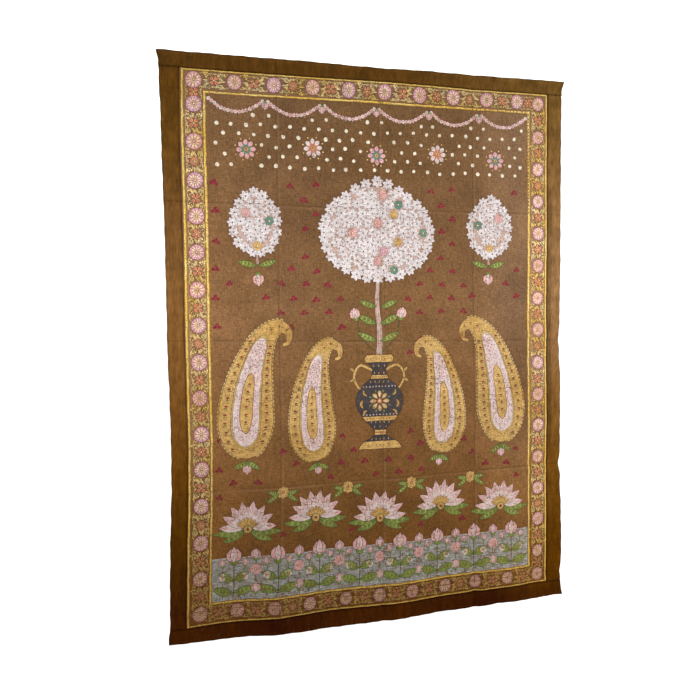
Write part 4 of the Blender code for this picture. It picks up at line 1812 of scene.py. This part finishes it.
# fine ripples, each a short wavy line
def drawRipples(left, right, top, bottom):
    for y in np.arange(top + 4, bottom - 2, band["ripple"]):
        x = left + rng.uniform(1, 10)
        while x < right - 8:
            length = min(rng.uniform(9, 26), right - 2 - x)
            lift = rng.uniform(0.6, 1.3)
            line = [(x, y), (x + length * 0.3, y - lift), (x + length * 0.65, y + lift),
                    (x + length, y)]
            pigment = band["ripples"][rng.integers(len(band["ripples"]))]
            width = 1.7 if pigment in band["broad"] else 1.2
            painting.append(stroke(pigment, line, width, "leaf", 1, steps=3))
            x += length + rng.uniform(2, 7)


# the water-like band at the field's foot, with buds, blossoms and leaves on upright stems
def drawBand():
    left, right = field["left"] / mm, field["right"] / mm
    top, bottom = field["bandTop"] / mm, field["bottom"] / mm
    middle = (top + bottom) / 2
    unit = (right - left) / band["count"]

    def stem(across, low, high, width):
        painting.append(stroke("moss", [(across, low), (across, high)], width, "even", 2))

    def place(strokes, across, drop, turn=0.0, flip=False):
        paint(strokes, across * mm, drop * mm, turn, flip=flip, raised=4)

    painting.append(stroke("slate", [(left, middle), (0, middle), (right, middle)], bottom - top,
                           "even", 0))
    painting.append(stroke("mist", [(left, top), (0, top), (right, top)], 2.6, "even", 1))
    drawRipples(left, right, top, bottom)
    for k in range(band["count"]):
        across = left + (k + 0.5) * unit
        painting.append(stroke("moss", [(across, bottom - 10), (across + 1, middle), (across, top)],
                               2.6, "even", 3))
        paint(bud(2.0), across * mm, (top + 14) * mm, raised=5)
        for way in (-1, 1):
            for height, turn, length in band["largeLeaves"]:
                place(greenLeaf(length, 24, 9), across + way * 2, bottom - height, way * turn, way < 0)
            quarter = across + way * unit / 4
            stem(quarter, bottom - 6, bottom - 40, 1.8)
            place(blossom("ivory", 5, 12), quarter, top + 58, 30 * k)
            place(bud(1.0, "mauve"), quarter, top + 24, way * 14)
            stem(quarter, top + 24, top + 50, 1.6)
        if k:
            side = left + k * unit
            stem(side, bottom - 8, top + 12, 2.0)
            place(blossom("rose", 8, 18, "cream"), side, top + 38, 10 * k)
            place(bud(1.25), side, bottom - 22)
            place(bud(1.35, "mauve"), side, top + 6)
    keepFree(fieldMiddle, field["bandTop"] + 0.1, 2.0, 0.140)


# three touching lobes with a brighter spot between them, on a short stem
def sprig():
    strokes = [disc("crimson", 5.4, 1, 0, -5.8), disc("crimson", 4.4, 1, 0, 0.4)]
    for way in (-1, 1):
        strokes.append(stroke("crimson", [(way * 1.8, -1.0), (way * 12.6, 4.0)], 9.6, "round", 1))
    strokes.append(stroke("plum", [(0, -3.0), (0, 2.5)], 2.8, "leaf", 2, steps=3))
    return strokes + [stroke("crimson", [(0, 3), (0.6, 10.5)], 2.2, "taper", 1, steps=3)]


# staggered rows of places over the field, from one drop to another
def rowsOfSpots(first, last, rowPitch, pitch, inset, extra):
    for row in range(int((last - first) / rowPitch) + 1):
        for column in range(int(fieldWidth / pitch) + extra):
            across = field["left"] + inset + (column + 0.5 * (row % 2)) * pitch
            yield across, first + row * rowPitch


def scatterDots():
    pitch = field["dotPitch"]
    first = field["top"] + 0.028
    for across, drop in rowsOfSpots(first, field["dotZone"], pitch * 0.66, pitch, 0.030, 1):
        if across < field["right"] - 0.02 and isFree(across, drop):
            x, y = across + rng.normal(0, 2) * mm, drop + rng.normal(0, 2) * mm
            paint([disc("chalk", 6.0, 1)], x, y, size=rng.uniform(0.85, 1.1))


def scatterSprigs():
    pitch = field["sprigPitch"]
    first, last = field["dotZone"] + 0.034, field["bandTop"] - 0.03
    for across, drop in rowsOfSpots(first, last, pitch * 0.56, pitch, 0.022, 2):
        inside = field["left"] + 0.012 < across < field["right"] - 0.012
        if inside and isFree(across, drop):
            paint(sprig(), across + rng.normal(0, 2.5) * mm, drop + rng.normal(0, 2.5) * mm,
                  rng.uniform(-14, 14), rng.uniform(0.85, 1.08))


def drawField():
    drawSwags()
    drawStars()
    drawShrub()
    drawMedallions()
    drawVase()
    drawTeardrops()
    drawHalfFlowers()
    drawGoldFlowers()
    drawBand()
    scatterDots()
    scatterSprigs()


# camera, light and stage

view = {
    "place": (-0.9187, -2.5174, -0.7478),
    "lens": 43.2,
    "turn": -18.158,
    "tilt": 90 - 3.015,
    "roll": -0.490,
}


def addToScene(name, data):
    item = bpy.data.objects.new(name, data)
    bpy.context.scene.collection.objects.link(item)
    return item


def makeCamera():
    data = bpy.data.cameras.new("camera")
    data.lens = view["lens"]
    data.sensor_width = 36
    camera = addToScene("camera", data)
    place = Matrix.Translation(view["place"])
    for name, axis in (("turn", "Z"), ("tilt", "X"), ("roll", "Z")):
        place = place @ Matrix.Rotation(math.radians(view[name]), 4, axis)
    camera.matrix_world = place
    bpy.context.scene.camera = camera


studio = {
    "floor": -1.95,
    "wall": 1.6,            # how far behind the cloth
    "round": 1.2,           # radius of the curve between floor and wall
    "reach": 45.0,          # how far the floor runs to the front and to each side
    "top": 14.0,
    "world": 0.46,
    "stageGlow": 0.27,      # keeps the backdrop an even near-white
    "tone": (0.91, 0.93),   # the stage's grey, darkest and lightest
    "lights": [             # name, place, what it points at, size and watts
        ("keyLight", (1.9, -3.2, 0.5), (0.0, 0.0, -0.9), 2.4, 72),
        ("fillLight", (-2.4, -2.8, -0.3), (0.0, 0.0, -0.9), 2.6, 33),
        ("wallLight", (0.0, 0.35, 1.2), (0.0, 1.6, -0.9), 2.5, 34),
    ],
}


def stageMaterial():
    material, tree, shader = startMaterial("paleStage")
    cloudy = addNode(tree, "ShaderNodeTexNoise", Scale=0.6).outputs["Fac"]
    tone = remap(tree, cloudy, 0, 1, *studio["tone"])
    grey = addNode(tree, "ShaderNodeCombineColor", Red=tone, Green=tone, Blue=tone)
    tree.links.new(grey.outputs[0], shader.inputs["Base Color"])
    shader.inputs["Roughness"].default_value = 0.9
    shader.inputs["Emission Color"].default_value = (1, 1, 1, 1)
    shader.inputs["Emission Strength"].default_value = studio["stageGlow"]
    # from behind or below, the stage is clear, so that it doesn't hide the cloth's back
    back = addNode(tree, "ShaderNodeNewGeometry").outputs["Backfacing"]
    clear = addNode(tree, "ShaderNodeBsdfTransparent")
    either = addNode(tree, "ShaderNodeMixShader", _0=back, _1=shader.outputs[0], _2=clear.outputs[0])
    tree.links.new(either.outputs[0], tree.nodes["Material Output"].inputs["Surface"])
    return material


# floor and wall are one sheet with a wide curve between them
def makeStage():
    radius, wide = studio["round"], studio["reach"]
    run = [(-studio["reach"], 0.0)]
    for angle in np.linspace(0, math.pi / 2, 13):
        run.append((studio["wall"] + radius * (math.sin(angle) - 1), radius * (1 - math.cos(angle))))
    run.append((studio["wall"], studio["top"]))
    points = [(x, y, studio["floor"] + z) for y, z in run for x in (-wide, wide)]
    faces = [(2 * k, 2 * k + 1, 2 * k + 3, 2 * k + 2) for k in range(len(run) - 1)]
    mesh = bpy.data.meshes.new("stage")
    mesh.from_pydata(points, [], faces)
    mesh.shade_smooth()
    mesh.materials.append(stageMaterial())
    stage = addToScene("stage", mesh)


def makeLights():
    for name, place, target, size, watts in studio["lights"]:
        data = bpy.data.lights.new(name, "AREA")
        data.shape = "DISK"
        data.size = size
        data.energy = watts
        light = addToScene(name, data)
        light.location = place
        light.rotation_mode = "QUATERNION"
        light.rotation_quaternion = (Vector(target) - Vector(place)).to_track_quat("-Z", "Y")
    world = bpy.data.worlds.new("softWorld")
    world.use_nodes = True
    background = world.node_tree.nodes["Background"]
    background.inputs["Color"].default_value = (1, 1, 1, 1)
    background.inputs["Strength"].default_value = studio["world"]
    bpy.context.scene.world = world
    bpy.context.scene.view_settings.view_transform = "Standard"


makeCamera()
makeStage()
makeLights()
say("camera, stage and light")

panel = makePanel(panelMaterial())
stripCloth = stripMaterial()
for side in ("top", "bottom", "left", "right"):
    makeStrip("strip_" + side, side, stripCloth)
say("panel and strips")

drawRules()
drawBorder()
drawField()
say(f"{len(painting)} strokes drawn")
paintPieces = layPaint()
say("paint laid")
